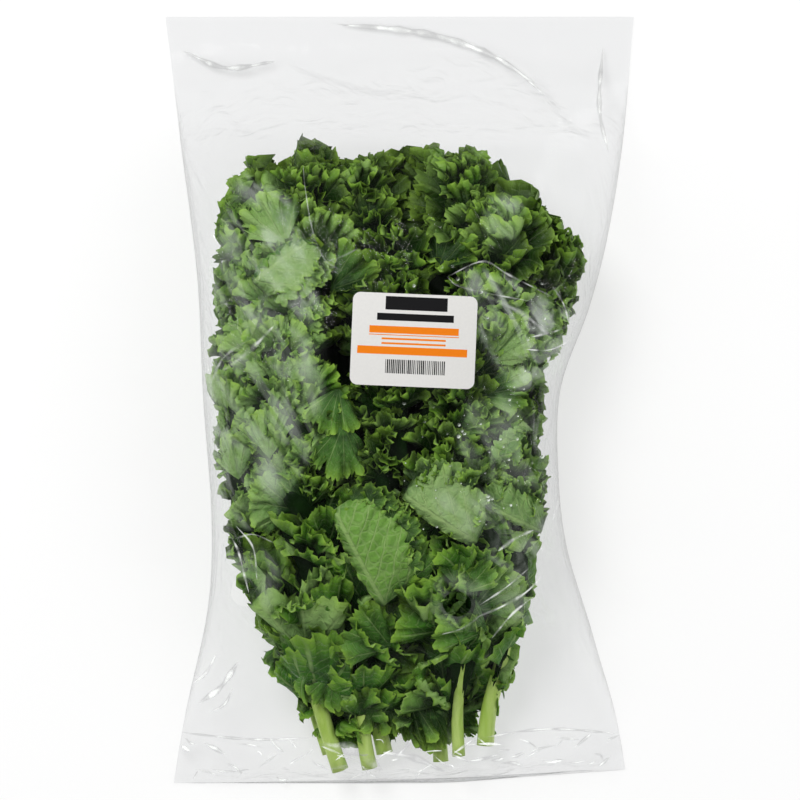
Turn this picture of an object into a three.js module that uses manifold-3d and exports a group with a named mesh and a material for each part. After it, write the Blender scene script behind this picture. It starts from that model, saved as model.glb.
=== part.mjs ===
// A bunch of curly kale in a clear film bag, lying on its back with the cut stems towards -Y.
// Millimetres, +Z up. The origin is the middle of the footprint, on the surface that the bag lies on.
import * as THREE from "three";
import { mergeVertices } from "three/addons/utils/BufferGeometryUtils.js";
import Module from "manifold-3d";

const { degToRad, lerp, smoothstep } = THREE.MathUtils;
const wasm = await Module();
wasm.setup();

// Outline of the kale seen from above: [y, x of the left side] and [y, x of the right side].
const KALE_LEFT = [
  [-182, -38], [-140, -50], [-95, -80], [-40, -86], [50, -91], [95, -89], [122, -72], [134, -56],
];
const KALE_RIGHT = [
  [-182, 45], [-140, 50], [-95, 62], [-50, 70], [0, 70], [45, 84], [77, 92], [100, 78], [122, 52], [134, 34],
];
// Height of the kale above the film it lies on, as [y, height].
const KALE_HEIGHT = [[-182, 24], [-150, 33], [-110, 60], [-60, 84], [0, 92], [60, 90], [100, 78], [134, 52]];
// Where the crown of leaf tips ends, as [x, y].
const KALE_CROWN = [[-94, 70], [-72, 110], [-52, 134], [-32, 118], [0, 121], [48, 114], [72, 101], [94, 74]];
const KALE_FLOOR = 2; // the leaves start this high
const KALE_ROUNDNESS = 2.6; // exponent of the cross-section: 2 is an ellipse, more is boxier

// One row for each leaf: where its rib runs in the cross-section at the stems and at the crown, as shares
// of the half width and half height, then the y of its cut end and of its tip, and its stem's radius.
const LEAVES = [
  { name: "leaf_front_left", stems: [-0.74, 0.36], crown: [-0.45, 0.36], foot: -178, tip: 110, radius: 4.1 },
  { name: "leaf_front_middle", stems: [-0.4, 0.4], crown: [-0.02, 0.4], foot: -177, tip: 104, radius: 3.8 },
  { name: "leaf_front_right", stems: [0.6, 0.4], crown: [0.42, 0.34], foot: -171, tip: 108, radius: 3.1 },
  { name: "leaf_side_left", stems: [-0.8, -0.4], crown: [-0.72, -0.18], foot: -170, tip: 98, radius: 3.3 },
  { name: "leaf_side_right", stems: [0.88, -0.02], crown: [0.72, -0.16], foot: -166, tip: 98, radius: 4.2 },
  { name: "leaf_back_left", stems: [-0.2, -0.42], crown: [-0.26, -0.38], foot: -170, tip: 106, radius: 4 },
  { name: "leaf_back_right", stems: [0.4, -0.42], crown: [0.24, -0.4], foot: -174, tip: 102, radius: 3.7 },
];
const STEM_SIDES = 6;
const STEM_STEPS = 9;
const RIB_TIP_RADIUS = 0.9;
const SPREAD_FROM = -176; // the ribs run from their place in the stems at this y
const SPREAD_TO = -70; // to their place in the crown at this y
const WANDER = 8; // how far a rib sways to either side
const WANDER_LENGTH = 30; // y of one radian of the sway
const CELL_GAP = 2.2; // kept between one leaf and the next
const CROWN_DEPTH = 16; // the leaves are pressed together this far below the crown

// The crumpled middle of a leaf's blade, round its rib, that the lobes stand out of.
const BLADE_START = -154; // the stems are bare below this y
const CORE_SIDES = 9;
const CORE_STEPS = 9;
const CORE_FILL = 0.58; // share of the leaf's room
const CORE_END = 14; // it ends this far short of the leaf's tip
const CORE_CRUMPLE = 0.3; // how unevenly it fills it

// The ruffled lobes of a leaf: fans that overlap from the foot to the crown.
const LOBES = 15;
const LOBE_LENGTH = 46;
const LOBE_SPREAD = 56; // degrees to either side of the lobe's own rib
const LOBE_TURNS = [-62, 8, 70]; // degrees round the leaf's rib, from straight out, taken in turn
const LOBE_TURN_SPREAD = 40; // and how far they stray from that in all
const LOBE_ROOT = 0.5; // a lobe starts this deep in the crumpled middle: 0 is on the rib, 1 on its skin
const LOBE_ROWS = [0.55, 1];
const BLADE = 0.9; // thickness
const SMALLEST_EDGE = 0.06; // slivers under this go when solids are joined
const PLEATS = 5; // folds across a lobe
const PLEAT_DEPTH = 7;
const NOTCH = 0.26; // how far the margin is cut in, as a share of the lobe's length
// A lobe bends away from the next leaf and from the film, and its pleats then stand on that bent shape.
const BENT = { from: 0.6, limit: 0.92 };
const PLEATED = { from: 0.92, limit: 1 };
const BENT_SKIN = { from: 0.74, limit: 0.92 };
const PLEATED_SKIN = { from: 0.92, limit: 1 };

// The bag, seen from above.
const BAG_LEFT = [
  [-185, -109], [-150, -103], [-100, -92], [-58, -90], [0, -94], [60, -97], [130, -106], [185, -113],
];
const BAG_RIGHT = [
  [-185, 109], [-150, 103], [-110, 92], [-70, 80], [-35, 76], [5, 77], [45, 91], [80, 100], [130, 108],
  [185, 113],
];
const BAG_END = 184.8; // half its length
const FILM = 0.6;
const FILM_SLACK = 3.4; // air between the kale and the film over it
const HEM = 2.4; // both layers of film where the bag is empty
const MOUTH_FROM = 120; // past the crown the film comes down to the hem
const MOUTH_TO = 172;
const FOOT_FROM = -176; // and past the stems
const BAG_FULL = { foot: [-168, -100], mouth: [100, 165] }; // between these the section grows round
const BAG_STATIONS = 18;
const BAG_FOOT_STATIONS = [-BAG_END, -182.6, -178.5]; // three more where the film comes down steeply
const BAG_TOP_STEPS = 10;
const BAG_UNDERSIDE = [-0.93, -0.74, -0.42, 0.42, 0.74, 0.93];
const VENTS = [{ x: 27.4, y: -97.4 }, { x: -75, y: -92.2 }];
const VENT_RADIUS = 6.8;

const LABEL = { width: 60.5, depth: 45, corner: 3.6, thickness: 0.6, x: 6.7, y: 28.3, turn: -2.4 };
const LABEL_GAP = 0.3; // above the film
// Its rows and columns, as shares of half its depth and of half its width there.
const LABEL_ROWS = [-0.999, -0.97, -0.9, -0.84, -0.5, 0, 0.5, 0.84, 0.9, 0.97, 0.999];
const LABEL_COLUMNS = [-1, -0.6, -0.2, 0.2, 0.6, 1];

// A smooth curve through a few points, held level past its ends.
function smoothCurve(points) {
  const last = points.length - 1;
  const slope = (i) => {
    const [a, b] = [points[Math.max(i - 1, 0)], points[Math.min(i + 1, last)]];
    return (b[1] - a[1]) / (b[0] - a[0]);
  };
  return (at) => {
    if (at <= points[0][0]) return points[0][1];
    if (at >= points[last][0]) return points[last][1];
    const i = points.findIndex((p) => p[0] > at) - 1;
    const [[x0, y0], [x1, y1]] = [points[i], points[i + 1]];
    const step = x1 - x0;
    const t = (at - x0) / step;
    const rise = t * t * (3 - 2 * t);
    return y0 + (y1 - y0) * rise + step * (slope(i) * t * (1 - t) ** 2 - slope(i + 1) * t * t * (1 - t));
  };
}

// A repeatable random number from 0 to 1 for three whole numbers.
function chance(a, b, c) {
  const wave = Math.sin(a * 12.9898 + b * 78.233 + c * 37.719) * 43758.5453;
  return wave - Math.floor(wave);
}

const kaleLeft = smoothCurve(KALE_LEFT);
const kaleRight = smoothCurve(KALE_RIGHT);
const kaleHeight = smoothCurve(KALE_HEIGHT);
const kaleCrown = smoothCurve(KALE_CROWN);
const bagLeft = smoothCurve(BAG_LEFT);
const bagRight = smoothCurve(BAG_RIGHT);
const middle = (y) => (kaleLeft(y) + kaleRight(y)) / 2;
const halfWidth = (y) => (kaleRight(y) - kaleLeft(y)) / 2;
const halfHeight = (y) => kaleHeight(y) / 2;
const midHeight = (y) => KALE_FLOOR + halfHeight(y);

// Straight up to `from`, then ever slower towards the limit.
function ease(share, { from, limit }) {
  if (share <= from) return share;
  return from + (limit - from) * (1 - Math.exp((from - share) / (limit - from)));
}

// Where a leaf's rib crosses the section at y, as [x, z].
function ribPlace(leaf, y) {
  const t = smoothstep(y, SPREAD_FROM, SPREAD_TO);
  const across = lerp(leaf.stems[0], leaf.crown[0], t);
  const up = lerp(leaf.stems[1], leaf.crown[1], t);
  const sway = WANDER * t * Math.sin(y / WANDER_LENGTH + 9 * leaf.crown[0] + 4 * leaf.crown[1]);
  return [middle(y) + halfWidth(y) * across + sway, midHeight(y) + halfHeight(y) * up];
}

// How far out a point of the cross-section at y lies: 1 is on the skin of the bunch.
function outness(x, y, z) {
  const across = Math.abs(x - middle(y)) / halfWidth(y);
  const up = Math.abs(z - midHeight(y)) / halfHeight(y);
  return (across ** KALE_ROUNDNESS + up ** KALE_ROUNDNESS) ** (1 / KALE_ROUNDNESS);
}

// How far a leaf may reach from its rib in one direction before it meets the next leaf's room.
function cellRoom(leaf, y, dx, dz) {
  const [ribX, ribZ] = ribPlace(leaf, y);
  let room = 1000;
  for (const other of LEAVES) {
    if (other === leaf) continue;
    const [ox, oz] = ribPlace(other, y);
    const apart = Math.hypot(ox - ribX, oz - ribZ);
    const facing = (dx * (ox - ribX) + dz * (oz - ribZ)) / apart;
    if (facing > 1e-6) room = Math.min(room, (apart / 2 - CELL_GAP / 2) / facing);
  }
  return room;
}

// The same, and before it meets the skin of the bunch.
function room(leaf, y, dx, dz) {
  const [ribX, ribZ] = ribPlace(leaf, y);
  let [near, far] = [0, cellRoom(leaf, y, dx, dz)];
  if (outness(ribX + dx * far, y, ribZ + dz * far) < 1) return far;
  for (let halving = 0; halving < 14; halving++) {
    const half = (near + far) / 2;
    if (outness(ribX + dx * half, y, ribZ + dz * half) < 1) near = half;
    else far = half;
  }
  return near;
}

// Keeps a point of a leaf in the leaf's own room: short of the crown, clear of the other leaves, in the bag.
function keepInRoom(leaf, point, cell = PLEATED, skin = PLEATED_SKIN) {
  const crownStart = kaleCrown(point.x) - CROWN_DEPTH;
  const past = ease((point.y - crownStart) / CROWN_DEPTH, { from: 0, limit: 1 });
  const y = point.y > crownStart ? crownStart + CROWN_DEPTH * past : point.y;
  const [ribX, ribZ] = ribPlace(leaf, y);
  let [x, z] = [point.x, point.z];
  const reach = Math.hypot(x - ribX, z - ribZ);
  if (reach > 1e-6) {
    const [dx, dz] = [(x - ribX) / reach, (z - ribZ) / reach];
    const limit = cellRoom(leaf, y, dx, dz);
    const kept = limit * ease(reach / limit, cell);
    [x, z] = [ribX + dx * kept, ribZ + dz * kept];
  }
  const out = outness(x, y, z);
  const pull = out > skin.from ? ease(out, skin) / out : 1;
  return new THREE.Vector3(middle(y) + (x - middle(y)) * pull, y, midHeight(y) + (z - midHeight(y)) * pull);
}

function ribPoint(leaf, y) {
  const [x, z] = ribPlace(leaf, y);
  return keepInRoom(leaf, new THREE.Vector3(x, y, z));
}

// The direction out of the bunch at a leaf's rib.
function outwards(leaf, y) {
  const [x, z] = ribPlace(leaf, y);
  const across = (x - middle(y)) / halfWidth(y);
  const up = (z - midHeight(y)) / halfHeight(y) || 0.01;
  const power = KALE_ROUNDNESS - 1;
  return new THREE.Vector3(
    (Math.sign(across) * Math.abs(across) ** power) / halfWidth(y),
    0,
    (Math.sign(up) * Math.abs(up) ** power) / halfHeight(y),
  ).normalize();
}

// A closed mesh as a manifold-3d solid, and back.
function solidFrom(vertices, triangles) {
  return new wasm.Manifold(
    new wasm.Mesh({
      numProp: 3,
      vertProperties: new Float32Array(vertices.flatMap((v) => [v.x, v.y, v.z])),
      triVerts: new Uint32Array(triangles.flat()),
    }),
  );
}

function solidFromGeometry(geometry) {
  const bare = geometry.index ? geometry.toNonIndexed() : geometry.clone();
  bare.deleteAttribute("normal");
  bare.deleteAttribute("uv");
  const merged = mergeVertices(bare, 1e-4);
  return new wasm.Manifold(
    new wasm.Mesh({
      numProp: 3,
      vertProperties: new Float32Array(merged.attributes.position.array),
      triVerts: new Uint32Array(merged.index.array),
    }),
  );
}

function geometryFrom(solid) {
  const mesh = solid.getMesh();
  const geometry = new THREE.BufferGeometry();
  geometry.setAttribute("position", new THREE.BufferAttribute(new Float32Array(mesh.vertProperties), 3));
  geometry.setIndex(new THREE.BufferAttribute(new Uint32Array(mesh.triVerts), 1));
  geometry.computeVertexNormals();
  return geometry;
}

// A closed skin over rings of points, one ring for each station along the bunch, with flat ends.
function ringsSolid(rings) {
  const around = rings[0].length;
  const triangles = [];
  for (let row = 0; row + 1 < rings.length; row++)
    for (let i = 0; i < around; i++) {
      const [a, b] = [row * around + i, row * around + ((i + 1) % around)];
      triangles.push([a, a + around, b], [b, a + around, b + around]);
    }
  const last = (rings.length - 1) * around;
  for (let i = 1; i < around - 1; i++) triangles.push([0, i, i + 1], [last, last + i + 1, last + i]);
  return solidFrom(rings.flat(), triangles);
}

// A leaf's stem and rib: one tapering rod, cut square at the foot.
function stemSolid(leaf) {
  const rings = [];
  for (let step = 0; step <= STEM_STEPS; step++) {
    const t = step / STEM_STEPS;
    const centre = ribPoint(leaf, lerp(leaf.foot, leaf.tip, t));
    const radius = lerp(leaf.radius, RIB_TIP_RADIUS, t ** 0.8);
    const ring = [];
    for (let side = 0; side < STEM_SIDES; side++) {
      const turn = (side / STEM_SIDES) * 2 * Math.PI;
      ring.push(new THREE.Vector3(radius * Math.cos(turn), 0, radius * Math.sin(turn)).add(centre));
    }
    rings.push(ring);
  }
  return ringsSolid(rings);
}

// The share of the leaf's room that the crumpled middle of its blade fills at y.
function coreFill(leaf, y) {
  const t = (y - BLADE_START) / (leaf.tip - CORE_END - BLADE_START);
  return t > 1 ? 0 : CORE_FILL * Math.min(1, 0.3 + 2.2 * t) * (1 - 0.6 * t ** 8);
}

// The crumpled middle of the blade.
function coreSolid(leaf, leafIndex) {
  const rings = [];
  for (let step = 0; step <= CORE_STEPS; step++) {
    const t = step / CORE_STEPS;
    const y = lerp(BLADE_START, leaf.tip - CORE_END, t);
    const [ribX, ribZ] = ribPlace(leaf, y);
    const ring = [];
    for (let side = 0; side < CORE_SIDES; side++) {
      const turn = ((side + 0.5 * (step % 2)) / CORE_SIDES) * 2 * Math.PI;
      const [dx, dz] = [Math.cos(turn), Math.sin(turn)];
      const crumple = 1 + CORE_CRUMPLE * (chance(leafIndex + 1, step + 1, side + 40) - 0.5);
      const reach = room(leaf, y, dx, dz) * coreFill(leaf, y) * crumple;
      ring.push(keepInRoom(leaf, new THREE.Vector3(ribX + dx * reach, y, ribZ + dz * reach)));
    }
    rings.push(ring);
  }
  return ringsSolid(rings);
}

// The facts of one lobe: where it starts, its own axes and its length.
function lobeFacts(leaf, leafIndex, index) {
  const draw = (channel) => chance(leafIndex + 1, index + 1, channel);
  const along = ((index + 0.3 * draw(1)) / (LOBES - 0.7)) ** 0.92;
  const y = lerp(BLADE_START, leaf.tip, along);
  const tangent = ribPoint(leaf, y + 1).sub(ribPoint(leaf, y - 1)).normalize();
  const out = outwards(leaf, y);
  const turnDegrees = LOBE_TURNS[index % LOBE_TURNS.length] + LOBE_TURN_SPREAD * (draw(2) - 0.5);
  const turn = degToRad(turnDegrees * (1 + 0.6 * along ** 8));
  const side = new THREE.Vector3(out.z, 0, -out.x);
  const heading = out.multiplyScalar(Math.cos(turn)).addScaledVector(side, Math.sin(turn));
  const [ribX, ribZ] = ribPlace(leaf, y);
  const start = LOBE_ROOT * coreFill(leaf, y) * room(leaf, y, heading.x, heading.z);
  const root = keepInRoom(leaf, new THREE.Vector3(ribX + heading.x * start, y, ribZ + heading.z * start));
  const lift = degToRad(36 + 28 * draw(3) - 22 * along ** 4);
  const axis = new THREE.Vector3()
    .addScaledVector(tangent, Math.cos(lift))
    .addScaledVector(heading, Math.sin(lift))
    .normalize();
  const level = new THREE.Vector3().crossVectors(axis, heading).normalize();
  const edge = new THREE.Vector3().crossVectors(level, axis);
  const twist = degToRad(30 * (draw(4) - 0.5));
  const width = level.multiplyScalar(Math.cos(twist)).addScaledVector(edge, Math.sin(twist));
  const grow = Math.min(1, 0.62 + 1.8 * along) * (1 - 0.2 * along ** 4);
  return { root, axis, width, length: LOBE_LENGTH * grow * (0.86 + 0.3 * draw(5)), draw };
}

// A lobe: a pleated fan with a notched margin.
function lobeSolid(leaf, leafIndex, index) {
  const lobe = lobeFacts(leaf, leafIndex, index);
  const spread = degToRad(LOBE_SPREAD * (0.85 + 0.3 * lobe.draw(6)));
  const points = [lobe.root.clone()];
  const lifts = [0];
  for (const row of LOBE_ROWS)
    for (let pleat = 0; pleat <= PLEATS; pleat++) {
      const ridge = pleat % 2 ? 1 : -1;
      const angle = spread * ((2 * pleat) / PLEATS - 1);
      const reach = lobe.length * row * (ridge > 0 ? 1 : 1 - NOTCH * row);
      const point = lobe.root
        .clone()
        .addScaledVector(lobe.axis, reach * Math.cos(angle))
        .addScaledVector(lobe.width, reach * Math.sin(angle));
      points.push(keepInRoom(leaf, point, BENT, BENT_SKIN));
      lifts.push(ridge * PLEAT_DEPTH * row * row * (0.7 + 0.6 * lobe.draw(7 + pleat)));
    }
  const across = PLEATS + 1;
  const faces = [];
  for (let i = 0; i < PLEATS; i++) {
    const [a, b] = [1 + i, 2 + i];
    faces.push([0, a, b], [a, a + across, b + across], [a, b + across, b]);
  }
  const normals = sheetNormals(points, faces);
  const pleated = points.map((p, i) => keepInRoom(leaf, p.clone().addScaledVector(normals[i], lifts[i])));
  const margin = Array.from({ length: PLEATS }, (_, i) => 1 + across + i + 1);
  return bladeSolid(pleated, faces, [0, 1, 1 + across, ...margin, across]);
}

// The direction square to an open sheet of triangles at each of its points.
function sheetNormals(points, faces) {
  const normals = points.map(() => new THREE.Vector3());
  for (const face of faces) {
    const [a, b, c] = face.map((i) => points[i]);
    const square = new THREE.Vector3().crossVectors(b.clone().sub(a), c.clone().sub(a)).normalize();
    for (const i of face) normals[i].add(square);
  }
  return normals.map((n) => n.normalize());
}

// Gives an open sheet of triangles its thickness. The rim lists the points round its border in order.
function bladeSolid(points, faces, rim) {
  const normals = sheetNormals(points, faces);
  const count = points.length;
  const vertices = [
    ...points.map((p, i) => p.clone().addScaledVector(normals[i], BLADE / 2)),
    ...points.map((p, i) => p.clone().addScaledVector(normals[i], -BLADE / 2)),
  ];
  const triangles = [...faces, ...faces.map(([a, b, c]) => [a + count, c + count, b + count])];
  rim.forEach((a, i) => {
    const b = rim[(i + 1) % rim.length];
    triangles.push([b, a, a + count], [b, a + count, b + count]);
  });
  return solidFrom(vertices, triangles);
}

// Joins solids and drops any scrap that doesn't touch the largest one.
function joined(solids) {
  const whole = wasm.Manifold.union(solids);
  return whole.decompose().reduce((a, b) => (a.volume() > b.volume() ? a : b)).simplify(SMALLEST_EDGE);
}


// The bag's cross-section at y: its middle, half width, top, the height where it is widest, and how round
// its upper side is. It is plump round the kale and a thin lens towards both ends.
function bagSection(y) {
  const full = smoothstep(y, ...BAG_FULL.foot) * (1 - smoothstep(y, ...BAG_FULL.mouth));
  const closing = (1 - smoothstep(y, MOUTH_FROM, MOUTH_TO)) * (1 - smoothstep(-y, -FOOT_FROM, BAG_END));
  const top = HEM + (KALE_FLOOR + kaleHeight(y) + FILM_SLACK - HEM) * closing;
  return {
    centre: (bagLeft(y) + bagRight(y)) / 2,
    reach: (bagRight(y) - bagLeft(y)) / 2,
    top,
    widest: lerp(HEM / 2, 0.46 * top, full),
    roundness: lerp(1.9, 2.9, full),
  };
}

// Height of the film's upper face over a point of the floor.
function filmHeight(x, y) {
  const { centre, reach, top, widest, roundness } = bagSection(y);
  const share = Math.min(Math.abs(x - centre) / reach, 1);
  return widest + (top - widest) * (1 - share ** roundness) ** (1 / roundness);
}

// One ring of the film, set in by the wall.
function bagRing(y, wall) {
  const { centre, reach, top, widest, roundness } = bagSection(y);
  const ring = [];
  for (let step = 0; step <= BAG_TOP_STEPS; step++) {
    const turn = (step / BAG_TOP_STEPS) * Math.PI;
    const across = Math.sign(Math.cos(turn)) * Math.abs(Math.cos(turn)) ** (2 / roundness);
    const up = Math.abs(Math.sin(turn)) ** (2 / roundness);
    ring.push([centre + (reach - wall) * across, widest + (top - wall - widest) * up]);
  }
  for (const share of BAG_UNDERSIDE) {
    const drop = (1 - Math.abs(share) ** 3) ** (1 / 3);
    ring.push([centre + (reach - wall) * share, Math.max(wall, widest * (1 - 1.05 * drop) + wall * drop)]);
  }
  return ring.map(([x, z]) => new THREE.Vector3(x, y, z));
}

// The bag: a long sock of film, sealed at the foot and open past the crown, with its vents.
function bagSolid() {
  const stations = [...BAG_FOOT_STATIONS];
  const from = stations.at(-1);
  for (let i = 1; i <= BAG_STATIONS; i++) stations.push(lerp(from, BAG_END, i / BAG_STATIONS));
  const outer = ringsSolid(stations.map((y) => bagRing(y, 0)));
  const inside = stations.map((y, i) => bagRing(Math.max(y, stations[0] + FILM), FILM));
  inside.at(-1).forEach((point) => (point.y += FILM));
  const film = outer.subtract(ringsSolid(inside));
  return VENTS.reduce((bag, vent) => bag.subtract(ventPunch(vent)), film);
}

// A round punch square to the film at a vent.
function ventPunch({ x, y }) {
  const step = 3;
  const normal = new THREE.Vector3(
    filmHeight(x - step, y) - filmHeight(x + step, y),
    filmHeight(x, y - step) - filmHeight(x, y + step),
    2 * step,
  ).normalize();
  const punch = new THREE.CylinderGeometry(VENT_RADIUS, VENT_RADIUS, 24, 14);
  punch.applyQuaternion(new THREE.Quaternion().setFromUnitVectors(new THREE.Vector3(0, 1, 0), normal));
  punch.translate(x, y, filmHeight(x, y));
  return solidFromGeometry(punch);
}

// How far a label row at v reaches to either side of the label's middle: less where its corners are round.
function labelReach(v) {
  const intoCorner = Math.max(Math.abs(v) - (LABEL.depth / 2 - LABEL.corner), 0);
  return LABEL.width / 2 - LABEL.corner + Math.sqrt(LABEL.corner ** 2 - intoCorner ** 2);
}

// The paper label: a card with round corners, bent to the film and just above it.
function labelSolid() {
  const [cos, sin] = [Math.cos(degToRad(LABEL.turn)), Math.sin(degToRad(LABEL.turn))];
  const place = (u, v, lift) => {
    const [x, y] = [LABEL.x + u * cos - v * sin, LABEL.y + u * sin + v * cos];
    return new THREE.Vector3(x, y, filmHeight(x, y) + lift);
  };
  const rings = LABEL_ROWS.map((row) => {
    const v = (row * LABEL.depth) / 2;
    const across = LABEL_COLUMNS.map((column) => column * labelReach(v));
    const under = across.map((u) => place(u, v, LABEL_GAP));
    const over = across.map((u) => place(-u, v, LABEL_GAP + LABEL.thickness));
    return [...under, ...over];
  });
  return ringsSolid(rings);
}

function meshOf(name, geometry, material) {
  const mesh = new THREE.Mesh(geometry, material);
  mesh.name = name;
  return mesh;
}

const leafGreen = new THREE.MeshStandardMaterial({ color: 0x4f8a2e, roughness: 0.55, metalness: 0 });
const filmClear = new THREE.MeshStandardMaterial({
  color: 0xeef2f2,
  roughness: 0.12,
  metalness: 0,
  transparent: true,
  opacity: 0.18,
});
const labelWhite = new THREE.MeshStandardMaterial({ color: 0xf2f0ea, roughness: 0.6, metalness: 0 });

const kaleBunch = new THREE.Group();
kaleBunch.name = "kale_bunch";

LEAVES.forEach((leaf, leafIndex) => {
  const lobes = Array.from({ length: LOBES }, (_, index) => lobeSolid(leaf, leafIndex, index));
  const whole = joined([stemSolid(leaf), coreSolid(leaf, leafIndex), ...lobes]);
  kaleBunch.add(meshOf(leaf.name, geometryFrom(whole), leafGreen));
});

kaleBunch.add(meshOf("bag", geometryFrom(bagSolid()), filmClear));

kaleBunch.add(meshOf("label", geometryFrom(labelSolid()), labelWhite));

export default kaleBunch;
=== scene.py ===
"""A bunch of curly kale in a clear film bag, lying on its back, seen from straight above.

Lengths here are millimetres up to the point where a mesh is made, which is in metres, as the camera, the
floor and the lamps are.
"""

import math

import bpy
import numpy as np
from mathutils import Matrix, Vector


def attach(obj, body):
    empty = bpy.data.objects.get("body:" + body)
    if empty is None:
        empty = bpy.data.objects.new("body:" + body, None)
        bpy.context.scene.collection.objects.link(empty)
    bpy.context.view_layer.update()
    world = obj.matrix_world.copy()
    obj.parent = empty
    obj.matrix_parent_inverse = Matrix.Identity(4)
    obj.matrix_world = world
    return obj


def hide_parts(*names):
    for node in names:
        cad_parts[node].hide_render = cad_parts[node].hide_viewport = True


BODY = "root"
MM = 0.001

# The kale's outline from above as (y, x), its height as (y, height), and its crown as (x, y).
KALE_LEFT = [
    (-182, -38), (-152, -51), (-120, -68), (-98, -80), (-60, -87), (50, -92), (95, -90), (111, -80),
    (122, -70), (134, -60),
]
KALE_RIGHT = [
    (-182, 45), (-150, 49), (-125, 57), (-104, 64), (-62, 73), (0, 71), (45, 84), (77, 92), (88, 79),
    (100, 70), (112, 58), (122, 50), (134, 34),
]
KALE_HEIGHT = [(-182, 24), (-150, 33), (-110, 60), (-60, 84), (0, 92), (60, 90), (100, 78), (134, 52)]
KALE_CROWN = [
    (-94, 84), (-88, 101), (-77, 112), (-66, 124), (-56, 133), (-46, 132), (-37, 119), (0, 121), (15, 123),
    (45, 120), (57, 106), (69, 99), (80, 84), (94, 76),
]
KALE_FLOOR = 2
KALE_ROUNDNESS = 2.6

# Each leaf: its rib's place among the stems and at the crown, as shares of the section's half width and
# half height, the y of its cut end and of its tip, and its stem's radius.
LEAF_TABLE = [
    ("front_left", (-0.74, 0.36), (-0.45, 0.36), -178, 110, 4.1),
    ("front_middle", (-0.4, 0.4), (-0.02, 0.4), -177, 104, 3.8),
    ("front_right", (0.6, 0.4), (0.42, 0.34), -171, 108, 3.1),
    ("side_left", (-0.8, -0.4), (-0.72, -0.18), -170, 98, 3.3),
    ("side_right", (0.88, -0.02), (0.72, -0.16), -166, 98, 4.2),
    ("back_left", (-0.2, -0.42), (-0.26, -0.38), -170, 106, 4.0),
    ("back_right", (0.4, -0.42), (0.24, -0.4), -174, 102, 3.7),
]
LEAF_WORDS = ("name", "stems", "crown", "foot", "tip", "radius")
LEAVES = [dict(zip(LEAF_WORDS, row)) for row in LEAF_TABLE]
RIB_TIP_RADIUS = 0.9
SPREAD_FROM = -176
SPREAD_TO = -70
WANDER = 8
WANDER_LENGTH = 30
CELL_GAP = -3  # the margins of two leaves mingle this far
CROWN_DEPTH = 16
BLADE_START = -154
STEM_SIDES = 16
STEM_STEPS = 48

# The crumpled middle of a blade, which the fans stand out of.
CORE_SIDES = 36
CORE_STEPS = 70
CORE_FILL = 0.5
CORE_END = 14
CORE_CRUMPLE = 0.34

# Fans stand all over a leaf's outer side. On the skin of the bunch, the middles of their margins are this
# far apart.
ROW_STEPS = (17, 12)  # along the bunch, at the foot and at the crown
COLUMN_STEPS = (21, 15)  # round it, at the foot and at the crown
FIRST_ROW = -152
LAST_ROW = 122
CROWN_STEP = 14
OPEN_FROM = -110  # below this y the fans are large, flat and open
OPEN_TO = -30  # and past this one small, steep and tightly curled
FRONT_COLUMNS = 80
BACK_COLUMNS = 28
FRILL_COLUMNS = 28
# How a fan gives way to the next leaf and to the skin, before and after it is pleated: where it starts to,
# and how far it may reach, as shares of the room there is.
BENT = (1.0, 1.4)
PLEATED = (1.3, 1.6)
PLEATED_SKIN = (0.97, 1.05)
BLADE = 0.42

# Single leaves that lie open on the bunch: whose they are, where the rib starts and ends, how far they
# reach to its left and right, how much rolls over on the left, their lightness and underside share.
BROAD_LEAVES = [
    ("front_middle", (-7, -98), (-31, -52), 5, 31, 0, 1.0, 0.25),
    ("front_right", (37, -68), (2, -45), 5, 26, 0, 0.75, 1.0),
    ("side_right", (68, -63), (37, -46), 2, 16, 0, 0.6, 0.7),
    ("front_left", (-70, 56), (-41, 77), 10, 17, 5, 0.7, 1.0),
    ("front_right", (43, -28), (59, -10), 10, 8, 9, 0.9, 0.3),
]
# Open fans with veins that show, and the lowest ones between the stems: whose, where the root is, its
# heading from above in degrees, the length, half the spread, how far under the skin, and the lightness.
OPEN_FANS = [
    ("front_middle", (-5, -119), 128, 31, 72, 1, 0.95),
    ("front_middle", (-23, -152), 66, 22, 76, 3, 0.85),
    ("front_left", (-62, -28), 95, 26, 40, 1, 0.75),
    ("front_left", (-54, 74), 120, 30, 50, 1, 0.7),
    ("side_right", (38, 18), 40, 32, 45, 1, 0.6),
    ("side_right", (36, 2), 10, 30, 36, 1, 0.65),
    ("front_middle", (-34, 52), 40, 28, 48, 3, 0.4),
    ("front_right", (18, 62), 70, 26, 56, 3, 0.5),
    ("side_left", (-80, -38), 100, 24, 50, 2, 0.6),
    ("front_right", (42, -110), 160, 30, 50, 3, 0.7),
    ("side_right", (56, -116), 290, 27, 34, 14, 0.7),
    ("front_middle", (-8, -138), 272, 26, 42, 6, 0.5),
    ("front_right", (5, -142), 264, 28, 46, 6, 0.4),
    ("front_right", (14, -144), 276, 26, 44, 8, 0.4),
    ("front_right", (24, -140), 284, 26, 40, 12, 0.35),
    ("front_left", (-31, -132), 236, 24, 44, 8, 0.5),
    ("front_left", (-44, -122), 284, 30, 50, 1, 0.55),
    ("front_left", (-31, -130), 262, 22, 50, 0, 0.6),
    ("front_left", (-56, -116), 262, 26, 50, 6, 0.5),
    ("front_left", (-84, -60), 110, 22, 46, 5, 0.6),
    ("front_left", (-29, 6), 258, 24, 52, 1, 1.0),
    ("front_left", (-27, -12), 272, 27, 58, 0, 1.0),
    ("side_right", (50, -116), 290, 32, 30, 10, 0.7),
    ("side_left", (-64, -84), 200, 20, 60, 3, 0.7),
    ("back_left", (-6, -138), 270, 30, 52, 30, 0.35),
    ("front_right", (30, -92), 70, 26, 60, 1, 0.6),
    ("front_middle", (4, -86), 60, 26, 60, 2, 0.55),
]
BROAD_ROWS = 56
BROAD_COLUMNS = 40
BROAD_THICKNESS = 0.45
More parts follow.
